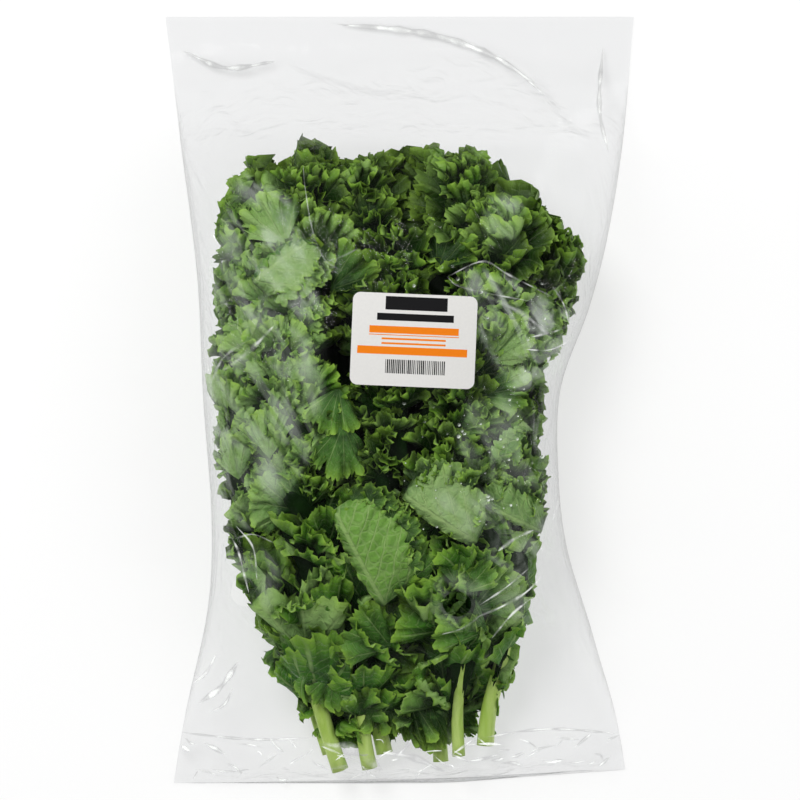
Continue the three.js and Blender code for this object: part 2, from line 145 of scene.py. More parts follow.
FRILL_SPACING = 6.5
CURL_SPACING = (5.5, 6.6)  # along a margin, on a curled fan and on an open one
DIVE = 18  # how far a blade passes under the bare stems
BARE_STEMS = ((25, 46), (-178, -128))  # no leaves lie over the stems in this x and y range

# The bag, seen from above, as (y, x).
BAG_LEFT = [
    (-185, -109), (-150, -103), (-100, -92), (-58, -90), (0, -94), (60, -97), (130, -106), (185, -113),
]
BAG_RIGHT = [
    (-185, 109), (-150, 103), (-110, 92), (-70, 80), (-35, 76), (5, 77), (45, 91), (80, 100), (130, 108),
    (185, 113),
]
BAG_END = 184.8
FOOT_RISE = 6.5
FILM = 0.12
FILM_SLACK = 3.4
HEM = 2.4
MOUTH = (120, 172)
FOOT = (176, 184.8)
BAG_FULL_FOOT = (-168, -100)
BAG_FULL_MOUTH = (100, 165)
BAG_STATIONS = 150
BAG_TOP_STEPS = 90
BAG_UNDER_STEPS = 16
VENTS = [(27.4, -97.4), (-75, -92.2)]
VENT_RADIUS = 6.8

LABEL_WIDTH = 59.3
LABEL_DEPTH = 44.1
LABEL_CORNER = 3.6
LABEL_THICKNESS = 0.25
LABEL_PLACE = (6.7, 28.3)
LABEL_TURN = -2.4
LABEL_GAP = 0.35

SIDE_VEIN_STEP = 9.5

# A fan's rows run from its root to its margin, each with its share of the length and of the columns.
FAN_ROWS = [
    (0.14, 8), (0.28, 4), (0.42, 4), (0.54, 2), (0.64, 2),
    (0.73, 1), (0.81, 1), (0.88, 1), (0.94, 1), (1.0, 1),
]

# Blade colours run from deep through mid to light by a value that holds the leaves' own tone and painted
# shade and light; the margin colour is a painted glow, as if light shone through the margins.
BLADE_DEEP = (0.006, 0.034, 0.001)
BLADE_MID = (0.038, 0.165, 0.006)
BLADE_LIGHT = (0.15, 0.37, 0.028)
MARGIN_GLOW = (0.36, 0.6, 0.07)
UNDERSIDE_AND_SHEEN = (0.3, 0.48, 0.16)
VEIN = (0.38, 0.54, 0.2)
# Painted shade: the near-black colours of the hollows between the curls.
HOLLOW_SHADE_DARK = (0.001, 0.006, 0.0005)
HOLLOW_SHADE_LIGHT = (0.006, 0.028, 0.002)
STEM_DARK = (0.4, 0.6, 0.09)
STEM_LIGHT = (0.58, 0.76, 0.22)
RIB_GREEN = (0.24, 0.42, 0.08)
CUT_END = (0.6, 0.7, 0.36)
WHITE = (1, 1, 1, 1)

# Where the film clings, misting the film and giving the leaves under it a painted sheen: the corners of
# each patch, how strongly and how soft its edge is.
CLINGING = [
    ([(-96, 62), (-76, 112), (-50, 96), (-42, 66), (-32, 30), (-38, -20), (-60, -64), (-94, -60)], 0.36, 4),
    ([(18, 66), (40, 66), (51, 60), (90, 50), (84, 14), (48, -2), (38, 30)], 0.62, 4),
    ([(40, 100), (64, 100), (56, 74), (40, 78)], 0.45, 6),
    ([(30, 0), (50, 6), (72, -10), (70, -46), (20, -36)], 0.2, 8),
    ([(0, -40), (36, -38), (72, -60), (66, -74), (30, -70)], 0.26, 8),
    ([(38, -62), (76, -52), (78, -112), (44, -110)], 0.3, 8),
    ([(-90, -74), (-50, -66), (-57, -100), (-78, -112)], 0.28, 7),
    ([(12, -84), (28, -80), (44, -86), (46, -106), (30, -114), (12, -108)], 0.16, 5),
]
# How strongly the painted sheen pales the leaves where the film clings, for the light the film scatters.
SHEEN_STRENGTH = 3.8  # how strongly the leaves pale there
VENT_SHADE = 0.85
MIST_SHARE = 0.085
MIST_EVERYWHERE = 0.0008

# Folds in the film that catch the light, each from one place to another, with its width and height.
CREASES = [
    ((-95, -150), (-72, -120), 2.6, 1.6),
    ((-98, -128), (-84, -60), 3.2, 1.2),
    ((-70, 175), (20, 150), 3.5, 1.6),
    ((-20, 182), (60, 168), 3.0, 1.6),
    ((-105, 182), (-60, 120), 4.0, 1.4),
    ((60, 178), (100, 120), 4.0, 1.4),
    ((30, 95), (80, 30), 4.0, 1.6),
    ((36, 70), (72, 48), 3.0, 1.6),
    ((45, 60), (80, 90), 3.0, 1.3),
    ((-50, 95), (-30, 30), 3.4, 1.4),
    ((-78, 60), (-40, 110), 3.4, 1.1),
    ((40, -100), (78, -70), 3.2, 1.6),
    ((36, -108), (84, -96), 3.2, 1.5),
    ((30, -88), (66, -40), 3.6, 1.2),
    ((-85, -95), (-60, -20), 3.2, 1.3),
    ((10, -20), (70, -58), 3.4, 1.2),
    ((-60, -150), (-20, -172), 3.2, 1.4),
    ((20, -160), (80, -172), 3.2, 1.5),
]
BAND_FOLDS = 26  # short folds across the sealed foot
LOOSE_FOLDS = 70  # and small ones all over

# Sharp folds that show as pale lines, painted highlights: their points, half width and how pale they are.
FOLD_LINES = [
    ([(-46, 112), (-45, 101), (-41, 79), (-35, 66), (-28, 62)], 0.3, 0.2),
    ([(-34, 66), (-28, 68), (-20, 72)], 0.5, 0.25),
    ([(22.6, 58.6), (40, 66), (51, 60), (73, 49)], 0.5, 0.22),
    ([(22.6, 58.6), (28, 54), (64, 46.6)], 0.4, 0.25),
    ([(24, 56), (40, 50), (60, 40), (76, 26)], 1.2, 0.12),
    ([(-84, 14), (-72, 23), (-60, 35)], 1.3, 0.3),
    ([(-90, 8), (-84, 20), (-70, 30)], 0.8, 0.2),
    ([(-81, -64), (-77, -72), (-74, -84), (-72, -92)], 0.6, 0.5),
    ([(-78, -60), (-70, -70), (-68, -86)], 0.5, 0.3),
    ([(-86, -62), (-80, -66), (-70, -64), (-60, -68)], 0.4, 0.2),
    ([(64, -62), (55, -66), (47, -72)], 1.0, 0.4),
    ([(68, -84), (60, -92), (48, -99), (36, -104)], 0.7, 0.4),
    ([(62, -80), (50, -90), (38, -98)], 0.5, 0.3),
    ([(64, -94), (54, -102), (44, -114)], 0.6, 0.35),
    ([(40, -102), (30, -109), (20, -112)], 0.5, 0.3),
    ([(73, 54), (78, 46), (81, 36)], 0.5, 0.4),
    ([(63, 30), (75, 33), (86, 38)], 0.7, 0.4),
    ([(60, 24), (72, 24), (84, 30)], 0.4, 0.35),
    ([(70, -30), (76, -44), (73, -58)], 0.6, 0.25),
    ([(-97, -146), (-86, -138), (-77, -125)], 1.4, 0.8),
    ([(-99, -136), (-93, -131), (-88, -122)], 0.9, 0.6),
    ([(-91, -150), (-84, -146), (-80, -138)], 0.6, 0.7),
    ([(-30, 181), (10, 177), (40, 168), (66, 152)], 1.6, 0.5),
    ([(30, 172), (52, 162), (70, 146)], 0.8, 0.6),
    ([(-104, 168), (-84, 160), (-60, 163)], 1.2, 0.4),
    ([(98, 170), (96, 140), (100, 118)], 1.0, 0.4),
    ([(-38, -165), (-22, -168), (-8, -178)], 2.6, 0.2),
    ([(-8, -169), (8, -172), (22, -179)], 1.4, 0.3),
    ([(24, -170), (34, -174), (48, -172)], 0.7, 0.5),
    ([(-106, -160), (-70, -163), (-40, -162)], 0.6, 0.5),
    ([(40, -163), (70, -161), (106, -166)], 0.6, 0.5),
]
CRUMPLES = 56  # short folds in the crumpled strip at the foot
DROPS = 90
DROP_AREA = (0, 72, -62, 66)
FOLD_STEPS = 18

# What is printed on the label: plain bars, each with its finish, its middle and its size.
INK = 0.03
PRINT = [
    ("ink_black", 0.7, 17.4, 29.5, 6.4),
    ("ink_black", 0.4, 10.8, 36.5, 3.4),
    ("ink_orange", 0, 4.7, 42.5, 3.4),
    ("ink_orange", 0, 2.2, 42.8, 0.4),
    ("ink_orange", 0, 0.4, 30.5, 0.9),
    ("ink_orange", 0, -1.8, 30.5, 0.9),
    ("ink_orange", -0.5, -5.2, 52.3, 3.7),
]
STRIPES = 32
STRIPE_AREA = (-13.3, 15.5, -16, -9.4)
PRINT_SUNK = 0.02  # how far the print reaches into the paper

# The camera, the floor and the lamps are in metres. A lamp has its name, place, two sides and power.
CAMERA_HEIGHT = 7.0
CAMERA_ASIDE = 0.0002
SENSOR = 36
VIEW_WIDTH = 0.384
VIEW_LEVEL = 0.03
FLOOR_SIZE = 6
FLOOR_LEVEL = -0.0005
FLOOR_GREY = (0.45, 0.45, 0.45, 1)
FLOOR_GLOW = 0.63
WORLD_LIGHT = 0.24
LAMPS = [
    ("key", (-0.5, 0.7, 1.5), 0.7, 0.7, 14),
    ("fill", (0.9, -0.2, 1.2), 1.0, 1.0, 2.6),
    ("strip_left", (-1.1, 0.1, 0.75), 0.04, 1.4, 2.6),
    ("strip_right", (1.1, 0.0, 0.85), 0.04, 1.4, 2.6),
]


def smooth_curve(points):
    """A smooth curve through a few points, held level past its ends."""
    xs, ys = np.array(points, float).T
    before = np.maximum(np.arange(len(xs)) - 1, 0)
    after = np.minimum(np.arange(len(xs)) + 1, len(xs) - 1)
    slopes = (ys[after] - ys[before]) / (xs[after] - xs[before])

    def curve(at):
        at = np.clip(at, xs[0], xs[-1])
        i = np.clip(np.searchsorted(xs, at, side="right") - 1, 0, len(xs) - 2)
        step = xs[i + 1] - xs[i]
        t = (at - xs[i]) / step
        rise = t * t * (3 - 2 * t)
        bow = slopes[i] * t * (1 - t) ** 2 - slopes[i + 1] * t * t * (1 - t)
        return ys[i] + (ys[i + 1] - ys[i]) * rise + step * bow

    return curve


def chance(a, b, c):
    """A repeatable random number from 0 to 1 for three numbers."""
    wave = math.sin(a * 12.9898 + b * 78.233 + c * 37.719) * 43758.5453
    return wave - math.floor(wave)


def drawing(first, second, start):
    """A function that gives a repeatable random number for each channel."""
    return lambda channel: chance(first, second, start + channel)


def smoothstep(x, low, high):
    t = np.clip((x - low) / (high - low), 0, 1)
    return t * t * (3 - 2 * t)


def lerp(a, b, t):
    return a + (b - a) * t


def unit(vectors):
    return vectors / np.maximum(np.linalg.norm(vectors, axis=-1, keepdims=True), 1e-9)


kale_left = smooth_curve(KALE_LEFT)
kale_right = smooth_curve(KALE_RIGHT)
kale_height = smooth_curve(KALE_HEIGHT)
kale_crown = smooth_curve(KALE_CROWN)


def middle(y):
    return (kale_left(y) + kale_right(y)) / 2


def half_width(y):
    return (kale_right(y) - kale_left(y)) / 2


def half_height(y):
    return kale_height(y) / 2


def mid_height(y):
    return KALE_FLOOR + half_height(y)


def ease(share, start, limit):
    """Straight up to the start, then ever slower towards the limit."""
    past = np.maximum(share - start, 0)
    return np.where(share <= start, share, start + (limit - start) * (1 - np.exp(-past / (limit - start))))


def rib_place(leaf, y):
    """Where a leaf's rib crosses the section at y, as x and z."""
    t = smoothstep(y, SPREAD_FROM, SPREAD_TO)
    across = lerp(leaf["stems"][0], leaf["crown"][0], t)
    up = lerp(leaf["stems"][1], leaf["crown"][1], t)
    sway = WANDER * t * np.sin(y / WANDER_LENGTH + 9 * leaf["crown"][0] + 4 * leaf["crown"][1])
    return middle(y) + half_width(y) * across + sway, mid_height(y) + half_height(y) * up


def outness(x, y, z):
    """How far out a point of the cross-section lies: 1 is on the skin of the bunch."""
    across = np.abs(x - middle(y)) / half_width(y)
    up = np.abs(z - mid_height(y)) / half_height(y)
    return (across**KALE_ROUNDNESS + up**KALE_ROUNDNESS) ** (1 / KALE_ROUNDNESS)


def cell_room(leaf, y, dx, dz):
    """How far a leaf may reach from its rib in one direction before it meets the next leaf's room."""
    rib_x, rib_z = rib_place(leaf, y)
    reach = np.full(np.shape(dx + y), 1000.0)
    for other in LEAVES:
        if other is leaf:
            continue
        other_x, other_z = rib_place(other, y)
        apart = np.hypot(other_x - rib_x, other_z - rib_z)
        facing = (dx * (other_x - rib_x) + dz * (other_z - rib_z)) / apart
        limit = (apart / 2 - CELL_GAP / 2) / np.maximum(facing, 1e-6)
        reach = np.where(facing > 1e-6, np.minimum(reach, limit), reach)
    return reach


def room(leaf, y, dx, dz):
    """The same, and before it meets the skin of the bunch."""
    rib_x, rib_z = rib_place(leaf, y)
    far = cell_room(leaf, y, dx, dz)
    near = np.zeros_like(far)
    inside = outness(rib_x + dx * far, y, rib_z + dz * far) < 1
    end = far.copy()
    for _ in range(14):
        half = (near + far) / 2
        within = outness(rib_x + dx * half, y, rib_z + dz * half) < 1
        near = np.where(within, half, near)
        far = np.where(within, far, half)
    return np.where(inside, end, near)


def keep_in_room(leaf, points, cell=PLEATED, skin=PLEATED_SKIN, past_crown=0.0):
    """Keeps points of a leaf in its own room: short of the crown, off the other leaves, in the bag."""
    x, y, z = np.moveaxis(points, -1, 0)
    crown_start = kale_crown(x) - CROWN_DEPTH + past_crown
    past = ease((y - crown_start) / CROWN_DEPTH, 0.7, 1.2)
    y = np.where(y > crown_start, crown_start + CROWN_DEPTH * past, y)
    rib_x, rib_z = rib_place(leaf, y)
    reach = np.maximum(np.hypot(x - rib_x, z - rib_z), 1e-6)
    dx, dz = (x - rib_x) / reach, (z - rib_z) / reach
    limit = cell_room(leaf, y, dx, dz)
    kept = limit * ease(reach / limit, *cell)
    x, z = rib_x + dx * kept, rib_z + dz * kept
    out = np.maximum(outness(x, y, z), 1e-6)
    pull = np.where(out > skin[0], ease(out, *skin) / out, 1)
    return np.stack([middle(y) + (x - middle(y)) * pull, y, mid_height(y) + (z - mid_height(y)) * pull], -1)


def rib_point(leaf, y):
    x, z = rib_place(leaf, y)
    return keep_in_room(leaf, np.stack([x, y + 0 * x, z], -1))


def skin_height(x, y):
    """The height of the bunch's upper skin."""
    across = np.minimum(np.abs(x - middle(y)) / half_width(y), 1)
    return mid_height(y) + half_height(y) * (1 - across**KALE_ROUNDNESS) ** (1 / KALE_ROUNDNESS)


def core_fill(leaf, y):
    t = np.clip((y - BLADE_START) / (leaf["tip"] - CORE_END - BLADE_START), 0, 1.01)
    return np.where(t > 1, 0, CORE_FILL * np.minimum(1, 0.3 + 2.2 * t) * (1 - 0.6 * t**8))


def soft_noise(x, y, size, seed):
    """Smooth uneven ripples from -1 to 1, about this far apart."""
    total = np.zeros_like(x)
    for i in range(7):
        turn = 6.3 * chance(i + 1, seed, 1)
        span = size * (0.55 + 0.9 * chance(i + 1, seed, 2))
        phase = 6.3 * chance(i + 1, seed, 3)
        total += np.sin((x * math.cos(turn) + y * math.sin(turn)) * 2 * math.pi / span + phase)
    return total / 3.2


def from_line(x, y, start, end):
    """A line's length, and how far a place lies along it and to its left."""
    start, end = np.array(start, float), np.array(end, float)
    length = np.linalg.norm(end - start)
    ahead = (end - start) / length
    along = (x - start[0]) * ahead[0] + (y - start[1]) * ahead[1]
    return length, along, (y - start[1]) * ahead[0] - (x - start[0]) * ahead[1]


def patch(x, y, corners, edge):
    """1 well inside a convex patch, fading to 0 at its border."""
    inside = np.full_like(x, 1e3)
    centre = np.array(corners, float).mean(0)
    for start, end in zip(corners, corners[1:] + corners[:1]):
        inward = np.sign(from_line(*centre, start, end)[2])
        inside = np.minimum(inside, inward * from_line(x, y, start, end)[2])
    return smoothstep(inside, 0, edge)


def clinging(x, y):
    """How strongly the film clings to the leaves at a place, from 0 to the strongest patch's share."""
    total = np.zeros_like(x)
    for corners, strength, edge in CLINGING:
        total = np.maximum(total, strength * patch(x, y, corners, edge))
    return total


def cling_sheen(x, y):
    """A painted sheen: how much paler the leaves are coloured where the film clings to them, for the light
    the film scatters there.
    """
    return np.clip(SHEEN_STRENGTH * clinging(x, y) * (0.85 + 0.5 * soft_noise(x, y, 26, 4)), 0, 1)


def vent_shade_share(x, y):
    """Painted shade: how much darker the leaves are coloured under a vent, fading out past its edge."""
    shade = np.zeros_like(x)
    for vent_x, vent_y in VENTS:
        away = np.hypot(x - vent_x, y - vent_y)
        shade = np.maximum(shade, 1 - smoothstep(away, VENT_RADIUS, VENT_RADIUS + 2))
    return VENT_SHADE * shade


def mist(x, y):
    return MIST_EVERYWHERE + MIST_SHARE * clinging(x, y) * (1 + 0.6 * soft_noise(x, y, 22, 6))


def new_piece(name, points, faces, materials):
    """A mesh piece from points in millimetres."""
    mesh = bpy.data.meshes.new(name)
    mesh.from_pydata((points * MM).tolist(), [], faces)
    for material in materials:
        mesh.materials.append(material)
    piece = bpy.data.objects.new(name, mesh)
    bpy.context.scene.collection.objects.link(piece)
    return piece


def select_only(piece):
    bpy.ops.object.select_all(action="DESELECT")
    piece.select_set(True)
    bpy.context.view_layer.objects.active = piece


def smooth(piece, sharp):
    """Shades a piece smooth, apart from edges sharper than this many degrees."""
    select_only(piece)
    bpy.ops.object.shade_smooth_by_angle(angle=math.radians(sharp))


class Pile:
    """Vertices, faces and their colours, gathered from many small closed surfaces into one mesh."""

    def __init__(self):
        self.points, self.faces, self.uvs, self.tones, self.finishes = [], [], [], [], []
        self.count = 0

    def add(self, points, faces, uvs, tones, finish=0):
        self.points.append(points)
        self.uvs.append(uvs)
        self.tones.append(tones)
        self.faces += [tuple(i + self.count for i in face) for face in faces]
        self.finishes += [finish] * len(faces)
        self.count += len(points)

    def make(self, name, materials, sharp=100):
        piece = new_piece(name, np.concatenate(self.points), self.faces, materials)
        mesh = piece.data
        loops = np.zeros(len(mesh.loops), np.int32)
        mesh.loops.foreach_get("vertex_index", loops)
        uv_layer = mesh.uv_layers.new(name="frill")
        uv_layer.data.foreach_set("uv", np.concatenate(self.uvs)[loops].astype(np.float32).ravel())
        tone = mesh.attributes.new("tone", "FLOAT_COLOR", "POINT")
        tones = np.concatenate(self.tones)
        tones = np.concatenate([tones, np.ones((len(tones), 1))], axis=1)
        tone.data.foreach_set("color", tones.astype(np.float32).ravel())
        mesh.polygons.foreach_set("material_index", np.array(self.finishes, np.int32))
        mesh.update()
        smooth(piece, sharp)
        return piece


def fan_grid(columns):
    """Which points of a regular grid a fan uses, its faces, and which of its points are on its rim."""
    used = [(0, 0)]
    row_start = [0]
    for row, (_, step) in enumerate(FAN_ROWS):
        row_start.append(len(used))
        used += [(row + 1, column) for column in range(0, columns + 1, step)]
    faces = []
    first_step = FAN_ROWS[0][1]
    for i in range(columns // first_step):
        faces.append((0, row_start[1] + i + 1, row_start[1] + i))
    for row in range(1, len(FAN_ROWS)):
        inner, outer = FAN_ROWS[row - 1][1], FAN_ROWS[row][1]
        for i in range(columns // inner):
            a = row_start[row] + i
            if inner == outer:
                b = row_start[row + 1] + i
                faces.append((a, a + 1, b + 1, b))
            else:
                b = row_start[row + 1] + 2 * i
                faces += [(a, b + 1, b), (a, a + 1, b + 1), (a + 1, b + 2, b + 1)]
    rim = np.array([row in (0, len(FAN_ROWS)) or column in (0, columns) for row, column in used])
    rows, cols = np.array(used).T
    return rows, cols, faces, rim


def closed_faces(faces, rim):
    """The faces of both sides of a thin sheet whose rim is shared."""
    count = len(rim)
    under = np.where(rim, np.arange(count), count + np.cumsum(~rim) - 1)
    return faces + [tuple(int(under[i]) for i in reversed(face)) for face in faces]


FAN_SHAPES = {}


def fan_shape(columns):
    if columns not in FAN_SHAPES:
        rows, cols, faces, rim = fan_grid(columns)
        FAN_SHAPES[columns] = (rows, cols, closed_faces(faces, rim), rim)
    return FAN_SHAPES[columns]


def grid_normals(points):
    """The direction square to a regular grid of points, at each of them."""
    down = np.gradient(points, axis=0)
    across = np.gradient(points, axis=1)
    down[0] = down[1]
    across[0] = across[1]
    return unit(np.cross(across, down)), unit(across)


def wave(u, count, draw, channel, unevenness=0.9):
    """The phase of a ripple along a margin, with uneven spacing."""
    phase = 2 * math.pi * count * (u * 0.5 + 0.5) + 6.3 * draw(channel)
    phase = phase + unevenness * np.sin(2 * math.pi * (0.9 * u + draw(channel + 1)))
    return phase + 0.6 * unevenness * np.sin(2 * math.pi * (2.3 * u + draw(channel + 2)))


def add_fan(pile, leaf, fan):
    """One ruffled fan with a notched and toothed margin."""
    draw = fan["draw"]
    columns = fan["columns"]
    u = np.linspace(-1, 1, columns + 1)[None, :]
    v = np.array([0.0] + [share for share, _ in FAN_ROWS])[:, None]
    openness = fan["openness"]
    skin = (fan["skin"] - 0.07, fan["skin"])
    past_crown = fan["past_crown"]

    # Outline: a few rounded lobes, each cut into small round ones that curl up and down in turn.
    curl = wave(u, fan["curls"] * (0.85 + 0.3 * draw(35)), draw, 36)
    lobing = wave(u, 1.3 + 0.8 * draw(21), draw, 22, 0.5)
    teeth = wave(u, 1.6 * fan["curls"], draw, 26, 0.6)
    notches = (0.14 + 0.16 * draw(25)) * (1 - np.abs(np.sin(lobing)) ** 0.6)
    notches = notches + lerp(0.11, 0.12, openness) * (1 - np.abs(np.sin(teeth)) ** 0.7)
    margin = (1 - notches) * (1 - 0.22 * np.abs(u) ** 3)
    reach = fan["length"] * v * (1 - (1 - margin) * v**2)
    angle = fan["spread"] * u
    axis, width, normal = fan["axis"], fan["width"], fan["normal"]
    along = (reach * np.cos(angle))[..., None]
    across = (reach * np.sin(angle))[..., None]
    cup = fan["length"] * (fan["cup"] * v**2 * np.sin(angle) ** 2 + fan["curl"] * v**2.2)
    sheet = fan["root"] + along * axis + across * width + cup[..., None] * normal
    sheet = settled(sheet, fan["skin"], past_crown)
    sheet = keep_in_room(leaf, sheet, BENT, (skin[0] - 0.1, skin[1]), past_crown)
    square, side = grid_normals(sheet)

    # Ruffles: broad folds, then curls, then a fine crimp, each growing towards the margin.
    fold = wave(u, 1.6 + 1.4 * draw(31), draw, 32)
    patchy = 0.85 + 0.35 * np.sin(2 * math.pi * (0.8 * u + draw(44)))
    fold_size = lerp(0.13, 0.1, openness) * fan["length"] * v**1.4
    curl_size = fan["ruffle"] * patchy * v ** lerp(2.0, 3.4, openness)
    crimp_size = 0.3 * fan["ruffle"] * v**5
    phase = curl + 1.6 * v
    lift = fold_size * np.sin(fold + 1.2 * v) + curl_size * np.sin(phase) + crimp_size * np.sin(1.8 * curl)
    slide = -0.32 * curl_size * np.sin(2 * phase) - 0.2 * crimp_size * np.sin(3.6 * curl)
    points = sheet + lift[..., None] * square + slide[..., None] * side
    points = keep_in_room(leaf, points, PLEATED, skin, past_crown)
    points[..., 2] -= DIVE * beside_bare_stem(points)
    points[..., 2] = np.maximum(points[..., 2], KALE_FLOOR + 1)
    square, side = grid_normals(points)

    x, y, z = np.moveaxis(points, -1, 0)
    # Painted shade: leaves deep inside the bunch and near a fan's root are coloured darker, as the hollows
    # between curls would be shaded.
    depth = smoothstep(outness(x, y, z), 0.55, 0.98)
    above = z > mid_height(y)
    # The second channel mixes the real pale underside with the painted sheen where the film clings.
    pale = np.clip(fan["underside"] + cling_sheen(x, y) * depth**1.5 * above, 0, 1)
    height = lift / (fan["ruffle"] + 0.14 * fan["length"])
    # Painted light and shade: raised curls are coloured lighter and dips darker, and the painted sheen of
    # the clinging film lightens them further.
    bright = 0.24 * fan["tone"] + 0.46 * depth * lerp(v**2, 1, 0.6 * openness) + 0.26 * height * v
    upper_sheen = cling_sheen(x, y) * above
    deeper = 0.2 * (1 - upper_sheen) * smoothstep(y, -90, -40)
    bright = np.clip(bright + 0.4 * upper_sheen * depth - deeper, 0, 1)
    # Painted shade under the vents.
    lit = 1 - vent_shade_share(x, y) * above
    # The third channel is a painted glow at the margin, as if light shone through it, stronger on raised
    # curls.
    tone = np.stack([bright * lit, pale * lit, v**6 * (0.7 + 0.5 * height) * lit], -1)
    thickness = BLADE * (1.3 - 0.9 * v)
    uv = np.stack([u * 0.5 + 0.5 + 0 * v, v + 0 * u], -1)
    add_sheet(pile, points, square, tone, fan_shape(columns), thickness, uv, 0)


def settled(sheet, skin, past_crown):
    """Moves a whole fan back into the bunch where part of it would stand out."""
    x, y, z = np.moveaxis(sheet, -1, 0)
    back = max(float(np.max(y - kale_crown(x))) - past_crown, 0)
    y = y - back
    out = outness(x, y, z)
    worst = np.unravel_index(np.argmax(out), out.shape)
    excess = 0.75 * max(float(out[worst]) - skin, 0) / float(out[worst])
    inward = [(middle(y[worst]) - x[worst]) * excess, -back, (mid_height(y[worst]) - z[worst]) * excess]
    return sheet + np.array(inward)


def add_sheet(pile, points, square, tone, shape, thickness, uv, finish):
    """Adds a sheet as a thin closed shell whose two sides share their rim."""
    rows, cols, faces, rim = shape
    middle_points = points[rows, cols]
    middle_points[0] = points[0, points.shape[1] // 2] if rows[1] else points[0, 0]
    half = (square * thickness[..., None] / 2)[rows, cols]
    upper = np.where(rim[:, None], middle_points, middle_points + half)
    uv = uv[rows, cols]
    top_tone = tone[rows, cols]
    under_tone = top_tone[~rim].copy()
    under_tone[:, 1] = np.maximum(1 - under_tone[:, 1], 0.3)
    pile.add(
        np.concatenate([upper, (middle_points - half)[~rim]]),
        faces,
        np.concatenate([uv, uv[~rim]]),
        np.concatenate([top_tone, under_tone]),
        finish,
    )


def sheet_grid(rows, columns):
    """The faces and the rim of a plain grid of points."""
    row, col = np.divmod(np.arange((rows + 1) * (columns + 1)), columns + 1)
    rim = (row == 0) | (row == rows) | (col == 0) | (col == columns)
    faces = []
    for i in range(rows):
        for j in range(columns):
            a = i * (columns + 1) + j
            faces.append((a, a + 1, a + columns + 2, a + columns + 1))
    return row, col, faces, rim


def add_broad_leaf(pile, leaf, index, broad):
    """An open leaf with its rib and side veins, which lies on the skin of the bunch."""
    _, start, end, left, right, roll, bright, underside = broad
    draw = drawing(index + 1, 7, 80)
    row, col, faces, rim = sheet_grid(BROAD_ROWS, BROAD_COLUMNS)
    t = np.linspace(0, 1, BROAD_ROWS + 1)[:, None]
    s = np.linspace(-1, 1, BROAD_COLUMNS + 1)[None, :]
    s = np.sign(s) * np.abs(s) ** 0.75
    start, end = np.array(start, float), np.array(end, float)
    length = np.linalg.norm(end - start)
    ahead = (end - start) / length
    to_left = np.array([-ahead[1], ahead[0]])

    # The reach to each side, with lobes and small teeth, narrowing to both ends.
    side = np.sign(s)
    share = np.abs(s)
    body = np.sin(math.pi * np.clip(0.06 + 0.9 * t, 0, 1) ** 0.8) ** 0.5
    curls = wave(2 * t - 1, length / 6.5, draw, 1) + 1.3 * side
    teeth = wave(2 * t - 1, length / 8, draw, 8) + 2 * side
    lobes = wave(2 * t - 1, 1.8 + draw(5), draw, 6) + 2 * side
    margin = body * (1 - 0.24 * (1 - np.abs(np.sin(lobes)) ** 0.6))
    margin = margin - 0.07 * (1 - np.abs(np.sin(teeth)) ** 0.6)
    reach = np.where(s > 0, left, right) * np.maximum(margin, 0.04)
    out = share * reach
    rolled = np.maximum(out - (reach - roll), 0) * (s > 0)
    roll_radius = max(roll / 4.2, 1)
    across = side * (out - rolled) + roll_radius * np.sin(rolled / roll_radius)
    rise = roll_radius * (1 - np.cos(rolled / roll_radius))
    along = length * t + 0.35 * out * body
    bow = 0.12 * length * (draw(11) - 0.5) * np.sin(math.pi * t)
    x = start[0] + ahead[0] * along + to_left[0] * (across + bow)
    y = start[1] + ahead[1] * along + to_left[1] * (across + bow)

    # Its height: curls at the margin, quilting between the veins, broad waves, and both ends sunk in.
    ruffle = 2.0 * share**6 * np.sin(curls + 1.4 * share)
    quilt = 0.6 * np.sin(2 * math.pi * (along - 0.9 * out) / SIDE_VEIN_STEP) * np.minimum(1, 3 * share)
    waves = 2.2 * np.sin(x / 7 + 6 * draw(12)) * np.sin(y / 8 + 6 * draw(13)) * share
    sink = 4.5 * share**1.5 * (1 - 0.6 * (roll > 0)) + 6 * (2 * t - 1) ** 4
    z = skin_height(x, y) + 1.5 - sink + ruffle + quilt + waves + rise
    slide = -0.5 * share**6 * np.sin(2 * (curls + 1.4 * share))
    points = np.stack([x + ahead[0] * slide, y + ahead[1] * slide, z], -1)
    points = keep_in_room(leaf, points, (1.5, 1.8), (1.0, 1.07))
    square, _ = grid_normals(points)
    upward = float(square[..., 2].mean()) > 0
    # Painted light and shade: lighter on raised ruffles and waves and darker at both sunken ends; also
    # darker halfway between rib and margin. The third channel is a painted glow at the margin.
    lit = bright - 0.5 * share * (1 - share) + 0.09 * (ruffle + waves) - 0.5 * (2 * t - 1) ** 6
    lit = np.clip(lit, 0, 1)
    turned_up = underside if upward else 1 - underside
    tone = np.stack([lit, turned_up + 0 * lit, share**8 * (0.5 + 0.2 * ruffle)], -1)
    uv = np.stack([0.5 + side * out / 100, (along - 0.35 * out * body) / 100], -1)
    shape = (row, col, closed_faces(faces, rim), rim)
    add_sheet(pile, points, square, tone, shape, BROAD_THICKNESS + 0 * lit, uv, 2)
    add_frills(pile, leaf, points, index, broad)


def level_axes(ahead):
    """The axes of a fan that points this way and lies level across."""
    axis = unit(ahead)
    level = unit(np.cross(axis, np.array([0, 0, 1.0])))
    return {"axis": axis, "width": level, "normal": np.cross(level, axis)}


